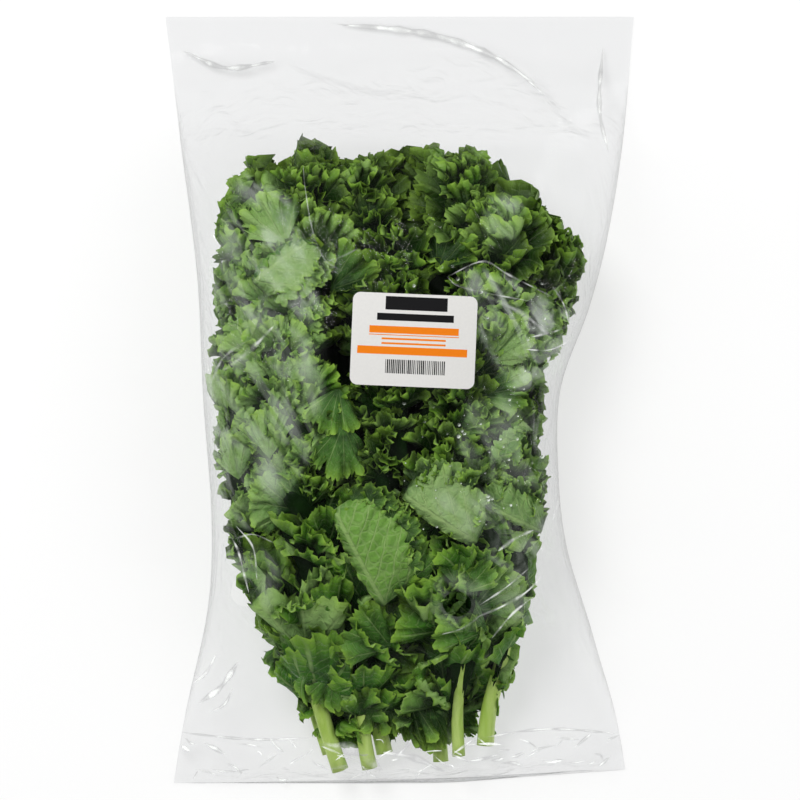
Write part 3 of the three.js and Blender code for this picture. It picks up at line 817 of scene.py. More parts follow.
def add_frills(pile, leaf, points, index, broad):
    """Small ruffled fans along the margin of an open leaf, where it is wide enough."""
    _, start, end, left, right, roll, bright, underside = broad
    length = math.hypot(end[0] - start[0], end[1] - start[1])
    for side, wide in ((-1, right), (1, 0 if roll else left)):
        if wide < 8:
            continue
        count = round(length / FRILL_SPACING)
        for i in range(count):
            draw = drawing(index + 1 + i, 9, 70 + 9 * side)
            at = round(lerp(0.12, 0.97, i / (count - 1)) * BROAD_ROWS)
            middle_column = BROAD_COLUMNS // 2
            inner = points[at, middle_column + round(side * 0.8 * middle_column)]
            outer = points[at, middle_column + side * (middle_column - 1)]
            onward = 0.15 * np.array([end[0] - start[0], end[1] - start[1], 0.0]) / length
            add_fan(pile, leaf, {
                "draw": draw,
                "columns": FRILL_COLUMNS,
                "root": inner + np.array([0, 0, 0.6]),
                **level_axes(outer - inner + onward),
                "length": 6 + 4 * draw(4),
                "spread": math.radians(80),
                "cup": 0.5 * (draw(6) - 0.4),
                "curl": 0.3 * (draw(7) - 0.5),
                "curls": 3.6,
                "ruffle": 1.5,
                "openness": 0.2,
                "tone": bright,
                "underside": underside,
                "skin": 1.07,
                "past_crown": 4.0,
            })


def add_open_fan(pile, leaf, index, fan):
    """A listed fan, which lies open near the skin."""
    _, (x, y), heading, length, spread, under, bright = fan
    draw = drawing(index + 1, 8, 90)
    heading = math.radians(heading)
    tip = (x + length * math.cos(heading), y + length * math.sin(heading))
    root = np.array([x, y, float(skin_height(x, y)) - under - 5])
    ahead = np.array([*tip, float(skin_height(*tip)) - under + 1]) - root
    add_fan(pile, leaf, {
        "draw": draw,
        "columns": FRONT_COLUMNS,
        "root": root,
        **level_axes(ahead),
        "length": length,
        "spread": math.radians(spread),
        "cup": 0.1 * (draw(6) - 0.5),
        "curl": -0.08,
        "curls": 1.5 * math.radians(spread) * length / CURL_SPACING[1],
        "ruffle": 1.7,
        "openness": 1.0,
        "tone": bright,
        "underside": 0.15,
        "skin": 1.06,
        "past_crown": 0.0,
    })


def is_covered(x, y, z):
    """Whether a place on the upper skin lies under one of the open leaves or fans."""
    if z < float(mid_height(y)):
        return False
    for _, start, end, left, right, *_ in BROAD_LEAVES:
        length, along, to_left = from_line(x, y, start, end)
        if 0.1 * length < along < length and -0.65 * right < to_left < 0.65 * left:
            return True
    for _, root, heading, length, *_ in OPEN_FANS:
        heading = math.radians(heading)
        ahead = np.array([math.cos(heading), math.sin(heading)])
        away = np.array([x, y]) - np.array(root) - 0.6 * length * ahead
        if np.linalg.norm(away) < 0.36 * length:
            return True
    return False


def lies_on_bare_stem(x, y, z):
    (x_low, x_high), (y_low, y_high) = BARE_STEMS
    return x_low < x < x_high and y_low < y < y_high and z > float(mid_height(y))


def beside_bare_stem(points):
    """How much a blade gives way to the bare stems, so that it passes under them."""
    x, y, z = np.moveaxis(points, -1, 0)
    (low_x, high_x), (low_y, high_y) = BARE_STEMS
    across = smoothstep(x, low_x - 3, low_x + 3) * (1 - smoothstep(x, high_x - 3, high_x + 3))
    along = smoothstep(y, low_y - 4, low_y) * (1 - smoothstep(y, high_y - 4, high_y + 5))
    return across * along * smoothstep(z, mid_height(y) - 6, mid_height(y) + 6)


def turned(axis, width, normal, turn, rise, twist):
    """A fan's own axes: turned across its lobe, raised off it and twisted about itself, in degrees."""
    turn, rise, twist = np.radians([turn, rise, twist])
    ahead = axis * math.cos(turn) + width * math.sin(turn)
    across = width * math.cos(turn) - axis * math.sin(turn)
    raised = ahead * math.cos(rise) + normal * math.sin(rise)
    up = normal * math.cos(rise) - ahead * math.sin(rise)
    width = across * math.cos(twist) + up * math.sin(twist)
    return raised, width, up * math.cos(twist) - across * math.sin(twist)


def skin_rows():
    """The places on the skin that the fans reach for, each as its row and column and its x, y and z."""
    places = []
    y = FIRST_ROW
    row = 0
    turns = np.linspace(0, 2 * math.pi, 361)
    power = 2 / KALE_ROUNDNESS
    while y < LAST_ROW:
        xs = middle(y) + half_width(y) * np.sign(np.cos(turns)) * np.abs(np.cos(turns)) ** power
        zs = mid_height(y) + half_height(y) * np.sign(np.sin(turns)) * np.abs(np.sin(turns)) ** power
        run = np.concatenate([[0], np.cumsum(np.hypot(np.diff(xs), np.diff(zs)))])
        opened = float(1 - smoothstep(y, OPEN_FROM, OPEN_TO))
        count = round(run[-1] / lerp(COLUMN_STEPS[1], COLUMN_STEPS[0], opened))
        for column in range(count):
            share = (column + 0.5 * (row % 2) + 0.5 * (chance(row + 1, column + 1, 3) - 0.5)) / count % 1
            x, z = np.interp(share * run[-1], run, xs), np.interp(share * run[-1], run, zs)
            shifted = y + 0.7 * ROW_STEPS[1] * (chance(row + 1, column + 1, 4) - 0.5)
            if shifted < float(kale_crown(x)) - 3 and not lies_on_bare_stem(x, shifted, z):
                places.append((row, column, float(x), shifted, float(z)))
        y += lerp(ROW_STEPS[1], ROW_STEPS[0], opened)
        row += 1
    return places


def crown_places():
    """The same for the end of the bunch, along its outline and through its height."""
    places = []
    for column, x in enumerate(np.arange(-88, 90, CROWN_STEP)):
        x = float(x + 6 * (chance(column + 1, 2, 9) - 0.5))
        y = float(kale_crown(x))
        top, low = float(skin_height(x, y - 4)), float(2 * mid_height(y - 4) - skin_height(x, y - 4))
        layers = max(round((top - low) / CROWN_STEP), 1)
        for layer in range(layers):
            z = lerp(top - 3, low + 3, (layer + 0.5 * (column % 2)) / layers)
            places.append((100 + layer, column, x, y - 4 + 5 * chance(column + 1, layer + 1, 5), float(z)))
    return places


def owner(x, y, z):
    """The leaf whose rib is nearest."""
    gaps = []
    for leaf in LEAVES:
        rib_x, rib_z = rib_place(leaf, min(y, leaf["tip"]))
        gaps.append(math.hypot(x - rib_x, z - rib_z))
    return LEAVES[int(np.argmin(gaps))]


def add_skin_fan(pile, leaf, place):
    """A fan from the crumpled middle of its leaf out to a place on the skin."""
    row, column, x, y, z = place
    draw = drawing(row + 1, column + 1, 60)
    openness = float(1 - smoothstep(y, OPEN_FROM, OPEN_TO))
    behind = lerp(lerp(14, 24, openness), 0, float(1 - smoothstep(y, -152, -118))) + 10 * (draw(10) - 0.5)
    root_y = min(y - behind, leaf["tip"] - 8)
    rib_x, rib_z = (float(value) for value in rib_place(leaf, root_y))
    reach = max(math.hypot(x - rib_x, z - rib_z), 1e-3)
    dx, dz = (x - rib_x) / reach, (z - rib_z) / reach
    start = 0.9 * float(core_fill(leaf, root_y)) * float(room(leaf, np.float64(root_y), dx, dz))
    start = min(start, reach * 0.7)
    root = keep_in_room(leaf, np.array([rib_x + dx * start, root_y, rib_z + dz * start]))
    axis = unit(np.array([x, y, z]) - root)
    length = float(np.linalg.norm(np.array([x, y, z]) - root))
    length = min(max(length * (1 + 0.12 * openness), 20 + 8 * openness), 44) * (0.94 + 0.24 * draw(4))
    out = np.array([dx, 0, dz])
    level = unit(np.cross(axis, out))
    normal = np.cross(level, axis)
    if np.dot(normal, out) < 0:
        level, normal = -level, -normal
    twist = lerp(130, 60, openness) * (draw(3) - 0.5)
    axis, width, normal = turned(axis, level, normal, 50 * (draw(1) - 0.5), 20 * (draw(2) - 0.5), twist)
    spread = math.radians(lerp(62, 72, openness) + 24 * draw(5))
    margin_run = 1.5 * spread * length
    add_fan(pile, leaf, {
        "draw": draw,
        "columns": FRONT_COLUMNS if z > float(mid_height(y)) + 6 else BACK_COLUMNS,
        "root": root,
        "axis": axis,
        "width": width,
        "normal": normal,
        "length": length,
        "spread": spread,
        "cup": 0.4 * (draw(6) - 0.5),
        "curl": 0.35 * (draw(7) - 0.6),
        "curls": margin_run / lerp(*CURL_SPACING, openness),
        "ruffle": 2.6 - 0.7 * openness,
        "openness": openness,
        "tone": draw(8),
        "underside": float(draw(9) < 0.25),
        "skin": 0.93 if is_covered(x, y, z) else 0.99 + 0.07 * draw(12),
        "past_crown": 11 * draw(13) - 6,
    })


def ring_faces(rings, sides):
    """The faces of a rod made of rings of points, with a last two points that close its ends."""
    first, last = rings * sides, rings * sides + 1
    end = (rings - 1) * sides
    faces = []
    for i in range(sides):
        j = (i + 1) % sides
        for row in range(rings - 1):
            a, b = row * sides + i, row * sides + j
            faces.append((a, a + sides, b + sides, b))
        faces.append((first, i, j))
        faces.append((last, end + j, end + i))
    return faces


def tube(centres, radii, sides):
    """A closed round rod along a line of centres, as points and faces, its rings square to the line."""
    ahead = unit(np.gradient(centres, axis=0))
    level = unit(np.cross(ahead, np.array([0.0, 0.0, 1.0])))
    up = np.cross(level, ahead)
    turn = np.linspace(0, 2 * math.pi, sides, endpoint=False)
    ring = np.cos(turn)[None, :, None] * level[:, None] + np.sin(turn)[None, :, None] * up[:, None]
    radii = np.asarray(radii)
    if radii.ndim == 1:
        radii = radii[:, None] + 0 * turn[None, :]
    points = centres[:, None] + ring * radii[..., None]
    points = np.concatenate([points.reshape(-1, 3), centres[:1], centres[-1:]])
    return points, ring_faces(len(centres), sides)


def add_rod(pile, centres, radii, sides, finish):
    points, faces = tube(centres, radii, sides)
    along = np.repeat(np.linspace(0, 1, len(centres)), sides)
    around = np.tile(np.linspace(0, 1, sides, endpoint=False), len(centres))
    uv = np.stack([np.append(around, [0, 0]), np.append(along, [-1, 1])], -1)
    tones = np.zeros((len(points), 3))
    tones[:, 2] = 0.5
    pile.add(points, faces, uv, tones, finish)


def add_stem(pile, leaf):
    """A leaf's stem and rib: a tapering rod with shallow ribs along it, cut square at the foot."""
    y = np.linspace(leaf["foot"], leaf["tip"], STEM_STEPS + 1)
    t = (y - leaf["foot"]) / (leaf["tip"] - leaf["foot"])
    radius = lerp(leaf["radius"], RIB_TIP_RADIUS, t**0.8)
    turn = np.linspace(0, 2 * math.pi, STEM_SIDES, endpoint=False)
    ribbed = 1 + 0.05 * np.cos(5 * turn)[None, :] * np.ones_like(y)[:, None]
    add_rod(pile, rib_point(leaf, y), radius[:, None] * ribbed, STEM_SIDES, 1)


def add_core(pile, leaf, leaf_index):
    """The crumpled middle of a blade, coloured as painted shade."""
    t = np.linspace(0, 1, CORE_STEPS + 1)[:, None]
    y = lerp(BLADE_START, leaf["tip"] - CORE_END, t)
    turn = np.linspace(0, 2 * math.pi, CORE_SIDES, endpoint=False)[None, :]
    y = y + 0 * turn
    dx, dz = np.cos(turn) + 0 * y, np.sin(turn) + 0 * y
    rib_x, rib_z = rib_place(leaf, y)
    crumple = (
        np.sin(3 * turn + y / 9 + leaf_index)
        + 0.7 * np.sin(7 * turn - y / 5 + 2 * leaf_index)
        + 0.5 * np.sin(12 * turn + y / 2.7)
    )
    reach = room(leaf, y, dx, dz) * core_fill(leaf, y) * (1 + 0.5 * CORE_CRUMPLE * crumple)
    points = keep_in_room(leaf, np.stack([rib_x + dx * reach, y, rib_z + dz * reach], -1))
    flat = np.concatenate([points.reshape(-1, 3), points[:1].mean(1), points[-1:].mean(1)])
    faces = ring_faces(CORE_STEPS + 1, CORE_SIDES)
    pile.add(flat, faces, np.zeros((len(flat), 2)), np.zeros((len(flat), 3)), 3)


PLACES = skin_rows() + crown_places()


def make_leaf(leaf, leaf_index, materials):
    pile = Pile()
    add_stem(pile, leaf)
    add_core(pile, leaf, leaf_index)
    for place in PLACES:
        if owner(*place[2:]) is leaf:
            add_skin_fan(pile, leaf, place)
    for index, broad in enumerate(BROAD_LEAVES):
        if broad[0] == leaf["name"]:
            add_broad_leaf(pile, leaf, index, broad)
    for index, fan in enumerate(OPEN_FANS):
        if fan[0] == leaf["name"]:
            add_open_fan(pile, leaf, index, fan)
    piece = pile.make("kale_" + leaf["name"], materials)
    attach(piece, BODY)
    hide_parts("leaf_" + leaf["name"])


class Tree:
    """A node tree, with short ways to add and join its nodes. Values may be numbers or sockets."""

    def __init__(self, tree):
        self.nodes = tree.nodes
        self.links = tree.links
        self.where = None

    def add(self, kind, **settings):
        node = self.nodes.new(kind)
        for key, value in settings.items():
            setattr(node, key, value)
        return node

    def put(self, socket, value):
        if isinstance(value, bpy.types.NodeSocket):
            self.links.new(value, socket)
        else:
            socket.default_value = value

    def fill(self, node, **values):
        """Sets a node's sockets, each named with _ for a space."""
        for name, value in values.items():
            self.put(node.inputs[name.replace("_", " ")], value)
        return node

    def place(self, effect, **values):
        """Adds a node group with its own values, and gives its outputs."""
        node = self.add("ShaderNodeGroup", node_tree=effect)
        return self.fill(node, Place=self.where, **values).outputs

    def math(self, operation, *values, clamp=False):
        node = self.add("ShaderNodeMath", operation=operation, use_clamp=clamp)
        for socket, value in zip(node.inputs, values):
            self.put(socket, value)
        return node.outputs[0]

    def ramp(self, value, low, high, to_low=0.0, to_high=1.0):
        node = self.add("ShaderNodeMapRange", interpolation_type="SMOOTHSTEP")
        self.fill(node, Value=value, From_Min=low, From_Max=high, To_Min=to_low, To_Max=to_high)
        return node.outputs["Result"]

    def mix(self, share, first, second):
        node = self.fill(self.add("ShaderNodeMix", data_type="RGBA"), Factor=share)
        for socket, value in zip([i for i in node.inputs if i.type == "RGBA"], (first, second)):
            self.put(socket, (*value, 1) if isinstance(value, tuple) else value)
        return next(o for o in node.outputs if o.type == "RGBA")

    def noise(self, scale, detail=2.0, distortion=0.0, vector=None):
        node = self.add("ShaderNodeTexNoise")
        vector = self.where if vector is None else vector
        self.fill(node, Vector=vector, Scale=scale, Detail=detail, Distortion=distortion)
        return node.outputs["Fac"]

    def placed(self, turn=0.0, stretch=(1, 1, 1)):
        node = self.add("ShaderNodeMapping", vector_type="TEXTURE")
        self.fill(node, Vector=self.where, Rotation=(0, 0, math.radians(turn)), Scale=stretch)
        return node.outputs[0]

    def split(self, source):
        return self.fill(self.add("ShaderNodeSeparateXYZ"), Vector=source).outputs

    def bump(self, height, strength, distance):
        node = self.add("ShaderNodeBump")
        return self.fill(node, Height=height, Strength=strength, Distance=distance * MM).outputs[0]

    def layered(self, share, below, above):
        """One shader over another."""
        node = self.add("ShaderNodeMixShader")
        for socket, value in zip(node.inputs, (share, below, above)):
            self.put(socket, value)
        return node.outputs[0]


class Finish(Tree):
    """A material."""

    def __init__(self, name):
        self.material = bpy.data.materials.new(name)
        self.material.use_nodes = True
        super().__init__(self.material.node_tree)
        self.shader = self.nodes["Principled BSDF"]
        self.where = self.add("ShaderNodeTexCoord").outputs["Object"]

    def attribute(self, name):
        return self.add("ShaderNodeAttribute", attribute_name=name).outputs

    def frill_map(self):
        """The sheet's own map, as its parts across and along."""
        return self.split(self.add("ShaderNodeUVMap", uv_map="frill").outputs[0])[:2]

    def surface(self, **values):
        self.fill(self.shader, **values)


class Effect(Tree):
    """A node group that several materials share."""

    def __init__(self, name, inputs, outputs):
        self.tree = bpy.data.node_groups.new(name, "ShaderNodeTree")
        for side, sockets in (("INPUT", inputs), ("OUTPUT", outputs)):
            for socket_name, kind in sockets.items():
                self.tree.interface.new_socket(socket_name, in_out=side, socket_type="NodeSocket" + kind)
        super().__init__(self.tree)
        self.given = self.add("NodeGroupInput").outputs
        self.result = self.add("NodeGroupOutput")
        self.where = self.given["Place"]


def fan_veins(finish, across, along):
    """Veins that spread from a fan's root, with branches off them."""
    aside = finish.math("FRACT", finish.math("MULTIPLY", across, 5.0))
    aside = finish.math("ABSOLUTE", finish.math("SUBTRACT", aside, 0.5))
    width = finish.math("MULTIPLY_ADD", along, -0.1, 0.13)
    main = finish.ramp(finish.math("DIVIDE", aside, width), 0.3, 1.0, 1.0, 0.0)
    branch = finish.math("MULTIPLY_ADD", aside, -2.6, finish.math("MULTIPLY", along, 7.0))
    branch = finish.math("ABSOLUTE", finish.math("SUBTRACT", finish.math("FRACT", branch), 0.5))
    branch = finish.ramp(branch, 0.04, 0.13, 1.0, 0.0)
    branch = finish.math("MULTIPLY", branch, finish.ramp(along, 0.15, 0.4))
    veins = finish.math("MAXIMUM", main, finish.math("MULTIPLY", branch, 0.5))
    return finish.math("MULTIPLY", veins, finish.ramp(along, 0.7, 0.98, 1.0, 0.0))


def rib_veins(finish, across, along):
    """A rib up the middle with side veins off it. The UV map is in tenths of a metre."""
    aside = finish.math("MULTIPLY", finish.math("ABSOLUTE", finish.math("SUBTRACT", across, 0.5)), 100.0)
    rib = finish.ramp(aside, 0.5, 1.4, 1.0, 0.0)
    shift = finish.math("MULTIPLY", finish.math("GREATER_THAN", across, 0.5), 0.5)
    steps = finish.math("MULTIPLY_ADD", along, 100 / SIDE_VEIN_STEP, shift)
    steps = finish.math("MULTIPLY_ADD", aside, -0.8 / SIDE_VEIN_STEP, steps)
    steps = finish.math("MULTIPLY_ADD", finish.noise(60, 2.0), 0.9, steps)
    line = finish.math("ABSOLUTE", finish.math("SUBTRACT", finish.math("FRACT", steps), 0.5))
    side_veins = finish.math("MULTIPLY", finish.ramp(line, 0.02, 0.1, 1.0, 0.0), 0.9)
    net = finish.add("ShaderNodeTexVoronoi", feature="DISTANCE_TO_EDGE")
    finish.fill(net, Vector=finish.where, Scale=200.0)
    fine = finish.ramp(net.outputs["Distance"], 0.02, 0.16, 0.5, 0.0)
    return finish.math("MAXIMUM", finish.math("MAXIMUM", rib, side_veins), fine)


def blade_effect():
    """What all blades share: painted shade and light from their tone, pale veins, a margin painted bright
    as if lit through, and a greyer underside, whose colour also paints the film's sheen.
    """
    effect = Effect(
        "kale_blade",
        {"Place": "Vector", "Veins": "Float", "Light": "Float", "Underside": "Float", "Margin": "Float"},
        {"Color": "Color", "Roughness": "Float", "Relief": "Float"},
    )
    veins = effect.given["Veins"]
    mottle = effect.noise(45, 3.0)
    crinkle = effect.noise(170, 3.0, 0.6)
    shade = effect.math("MULTIPLY_ADD", effect.math("SUBTRACT", mottle, 0.5), 0.6, effect.given["Light"])
    shade = effect.math("MULTIPLY_ADD", effect.math("SUBTRACT", crinkle, 0.5), 0.7, shade)
    color = effect.mix(effect.ramp(shade, 0.08, 0.62), BLADE_DEEP, BLADE_MID)
    color = effect.mix(effect.ramp(shade, 0.5, 1.05), color, BLADE_LIGHT)
    # The underside colour also serves as the painted sheen where the film clings.
    under = effect.ramp(shade, 0.05, 0.6, 0.06, 0.92)
    color = effect.mix(effect.math("MULTIPLY", effect.given["Underside"], under), color, UNDERSIDE_AND_SHEEN)
    vein_share = effect.math("MULTIPLY", veins, effect.ramp(shade, 0.1, 0.8, 0.15, 0.6))
    color = effect.mix(vein_share, color, VEIN)
    # Painted light: the margins glow as if lit through.
    margin = effect.math("MULTIPLY", effect.given["Margin"], 0.7, clamp=True)
    relief = effect.math("MULTIPLY", effect.noise(380, 2.0), 0.35)
    relief = effect.math("MULTIPLY_ADD", veins, -0.3, relief)
    effect.fill(
        effect.result,
        Color=effect.mix(margin, color, MARGIN_GLOW),
        Roughness=effect.ramp(mottle, 0.3, 0.7, 0.4, 0.56),
        Relief=effect.math("ADD", relief, crinkle),
    )
    return effect.tree


def blade_material(name, veins_of, effect):
    """Curly leaf, with the veins of its kind of sheet."""
    finish = Finish(name)
    # The tone attribute holds painted light and shade, the underside share with the painted sheen, and the
    # painted glow of the margin.
    light, under, margin = finish.split(finish.attribute("tone")["Vector"])
    veins = veins_of(finish, *finish.frill_map())
    look = finish.place(effect, Veins=veins, Light=light, Underside=under, Margin=margin)
    relief = finish.bump(look["Relief"], 0.75, 2.2)
    finish.surface(Base_Color=look["Color"], Roughness=look["Roughness"], Normal=relief)
    finish.surface(Specular_IOR_Level=0.2)
    return finish.material


def hollow_shade_material():
    """Painted shade: the crumpled middle of each blade, coloured near black for the dark hollows between
    the curls.
    """
    finish = Finish("kale_hollow_shade")
    patches = finish.noise(120, 3.0)
    finish.surface(Base_Color=finish.mix(patches, HOLLOW_SHADE_DARK, HOLLOW_SHADE_LIGHT), Roughness=0.85)
    finish.surface(Specular_IOR_Level=0.08, Normal=finish.bump(patches, 0.8, 2.0))
    return finish.material


def stem_material():
    """Stem: pale yellow-green, streaked along its length, whiter where it is cut."""
    finish = Finish("kale_stem")
    _, along = finish.frill_map()
    streaks = finish.noise(260, 3.0, vector=finish.placed(stretch=(1, 12, 1)))
    color = finish.mix(finish.ramp(streaks, 0.3, 0.7), STEM_DARK, STEM_LIGHT)
    color = finish.mix(finish.ramp(along, 0.2, 0.5), color, RIB_GREEN)
    color = finish.mix(finish.ramp(along, 0.005, -0.05), color, CUT_END)
    finish.surface(Base_Color=color, Roughness=0.38, Normal=finish.bump(streaks, 0.35, 0.3))
    return finish.material


bag_left = smooth_curve(BAG_LEFT)
bag_right = smooth_curve(BAG_RIGHT)


def bag_section(y):
    """The bag's cross-section: its middle, half width, top, widest height and roundness."""
    full = smoothstep(y, *BAG_FULL_FOOT) * (1 - smoothstep(y, *BAG_FULL_MOUTH))
    closing = (1 - smoothstep(y, *MOUTH)) * (1 - smoothstep(-y, *FOOT))
    top = HEM + (KALE_FLOOR + kale_height(y) + FILM_SLACK - HEM) * closing
    centre = (bag_left(y) + bag_right(y)) / 2
    reach = (bag_right(y) - bag_left(y)) / 2
    return centre, reach, top, lerp(HEM / 2, 0.46 * top, full), lerp(1.9, 2.9, full)


def film_height(x, y):
    centre, reach, top, widest, roundness = bag_section(y)
    share = np.minimum(np.abs(x - centre) / reach, 1)
    return widest + (top - widest) * (1 - share**roundness) ** (1 / roundness)


def crease(x, y, start, end, width, height):
    """A soft-topped fold in the film along a line, fading out at its ends."""
    length, along, to_left = from_line(x, y, start, end)
    bend = 0.08 * length * np.sin(math.pi * np.clip(along / length, 0, 1))
    fade = smoothstep(along, 0, 0.3 * length) * (1 - smoothstep(along, 0.7 * length, length))
    return height * fade * np.exp(-(((to_left + bend) / width) ** 2))


def wrinkles(x, y):
    """How far the film's upper side stands off its smooth shape."""
    lift = np.zeros_like(x)
    for start, end, width, height in CREASES:
        lift += crease(x, y, start, end, width, height)
    for i in range(BAND_FOLDS):
        x0 = lerp(-100, 98, i / (BAND_FOLDS - 1)) + 6 * chance(i + 1, 2, 1)
        y0 = -180 + 14 * chance(i + 1, 2, 2)
        turn = math.radians(-40 + 80 * chance(i + 1, 2, 3))
        span = 10 + 14 * chance(i + 1, 2, 4)
        lift += crease(x, y, (x0, y0), (x0 + span * math.cos(turn), y0 + span * math.sin(turn)), 2.2, 2.0)
    for i in range(LOOSE_FOLDS):
        x0 = -100 + 200 * chance(i + 1, 3, 1)
        y0 = -170 + 350 * chance(i + 1, 3, 2)
        turn = math.radians(40 + 110 * chance(i + 1, 3, 3))
        span = 14 + 34 * chance(i + 1, 3, 4)
        size = 0.35 + 0.6 * chance(i + 1, 3, 5)
        lift += crease(x, y, (x0, y0), (x0 + span * math.cos(turn), y0 + span * math.sin(turn)), 2.4, size)
    lift += 0.5 * np.sin(x / 9 + 2 * np.sin(y / 31)) * np.sin(y / 17 + 1.5 * np.sin(x / 23))
    return lift * (1 - under_label(x, y))


def label_axes(x, y):
    """A place on the film as seen from the label: along its width and its depth."""
    cos, sin = math.cos(math.radians(LABEL_TURN)), math.sin(math.radians(LABEL_TURN))
    dx, dy = x - LABEL_PLACE[0], y - LABEL_PLACE[1]
    return dx * cos + dy * sin, dy * cos - dx * sin


def under_label(x, y):
    """1 where the label holds the film smooth, fading out round it."""
    u, v = label_axes(x, y)
    outside = np.maximum(np.abs(u) - LABEL_WIDTH / 2, np.abs(v) - LABEL_DEPTH / 2)
    return 1 - smoothstep(outside, 0, 8)


def warped_foot(x, y):
    """The sealed foot runs a little askew: it lies higher on the right."""
    return x, y + FOOT_RISE * smoothstep(x, 10, 110) * smoothstep(-y, 120, 184)


def bag_surface():
    """The bag's outer side as rings of points, and the matching directions out of it."""
    y = np.concatenate([[-BAG_END], np.linspace(-184.2, BAG_END, BAG_STATIONS)])[:, None]
    centre, reach, top, widest, roundness = bag_section(y)
    turn = np.linspace(0, math.pi, BAG_TOP_STEPS + 1)[None, :]
    across = np.sign(np.cos(turn)) * np.abs(np.cos(turn)) ** (2 / roundness)
    up = np.abs(np.sin(turn)) ** (2 / roundness)
    x_top = centre + reach * across
    z_top = widest + (top - widest) * up
    share = np.linspace(-0.97, 0.97, BAG_UNDER_STEPS)[None, :]
    drop = (1 - np.abs(share) ** 3) ** (1 / 3)
    x_under = centre + reach * share
    z_under = np.maximum(widest * (1 - 1.05 * drop), 0)
    x = np.concatenate([x_top, x_under], axis=1)
    z = np.concatenate([z_top, z_under], axis=1)
    points = np.stack([x, y + 0 * x, z], -1)
    ahead = np.gradient(points, axis=0)
    around = (np.roll(points, -1, axis=1) - np.roll(points, 1, axis=1)) / 2
    out = unit(np.cross(around, ahead))
    out[0] = out[1]
    lift = np.zeros_like(x)
    thin = smoothstep(-y, *FOOT)
    side = np.minimum(1, np.minimum(turn, math.pi - turn) / 0.35)
    lift[:, : BAG_TOP_STEPS + 1] = wrinkles(x_top, y + 0 * x_top) * side * (1 - 0.8 * thin)
    lift = np.maximum(lift, -0.8)
    return points + out * lift[..., None], out


def make_bag(material):
    outer, out = bag_surface()
    inner = outer - out * FILM
    inner[0, :, 1] = outer[0, :, 1] + 0.3
    inner[..., 2] = np.clip(inner[..., 2], 0.05, None)
    rings, around = outer.shape[:2]
    faces = []
    for row in range(rings - 1):
        for i in range(around):
            a, b = row * around + i, row * around + (i + 1) % around
            faces.append((a, a + around, b + around, b))
    count = rings * around
    faces += [tuple(i + count for i in reversed(face)) for face in faces]
    last = (rings - 1) * around
    for i in range(around):
        j = (i + 1) % around
        faces.append((last + i, last + i + count, last + j + count, last + j))
    faces.append(tuple(range(around)))
    faces.append(tuple(i + count for i in reversed(range(around))))
    points = np.concatenate([outer.reshape(-1, 3), inner.reshape(-1, 3)])
    points[:, 0], points[:, 1] = warped_foot(points[:, 0], points[:, 1])
    bag = new_piece("film_bag", points, faces, [material])
    for number, (x, y) in enumerate(VENTS):
        punch_vent(bag, x, y, number)
    smooth(bag, 70)
    places = np.zeros(3 * len(bag.data.vertices), np.float32)
    bag.data.vertices.foreach_get("co", places)
    x, y, z = places.reshape(-1, 3).T / MM
    add_mist(bag, np.where(z > bag_section(y)[3] * 0.8, mist(x, y), MIST_EVERYWHERE))
    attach(bag, BODY)
    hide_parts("bag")


def punch_vent(bag, x, y, number):
    """Cuts a round vent square to the film."""
    step = 3
    slope_x = film_height(x - step, y) - film_height(x + step, y)
    slope_y = film_height(x, y - step) - film_height(x, y + step)
    normal = Vector((float(slope_x), float(slope_y), 2 * step)).normalized()
    bpy.ops.mesh.primitive_cylinder_add(
        vertices=40,
        radius=VENT_RADIUS * MM,
        depth=14 * MM,
        location=(x * MM, y * MM, float(film_height(x, y)) * MM),
        rotation=normal.to_track_quat("Z", "Y").to_euler(),
    )
    punch = bpy.context.active_object
    select_only(bag)
    cut = bag.modifiers.new(f"vent_{number}", "BOOLEAN")
    cut.operation = "DIFFERENCE"
    cut.object = punch
    cut.solver = "EXACT"
    bpy.ops.object.modifier_apply(modifier=cut.name)
    bpy.data.objects.remove(punch)


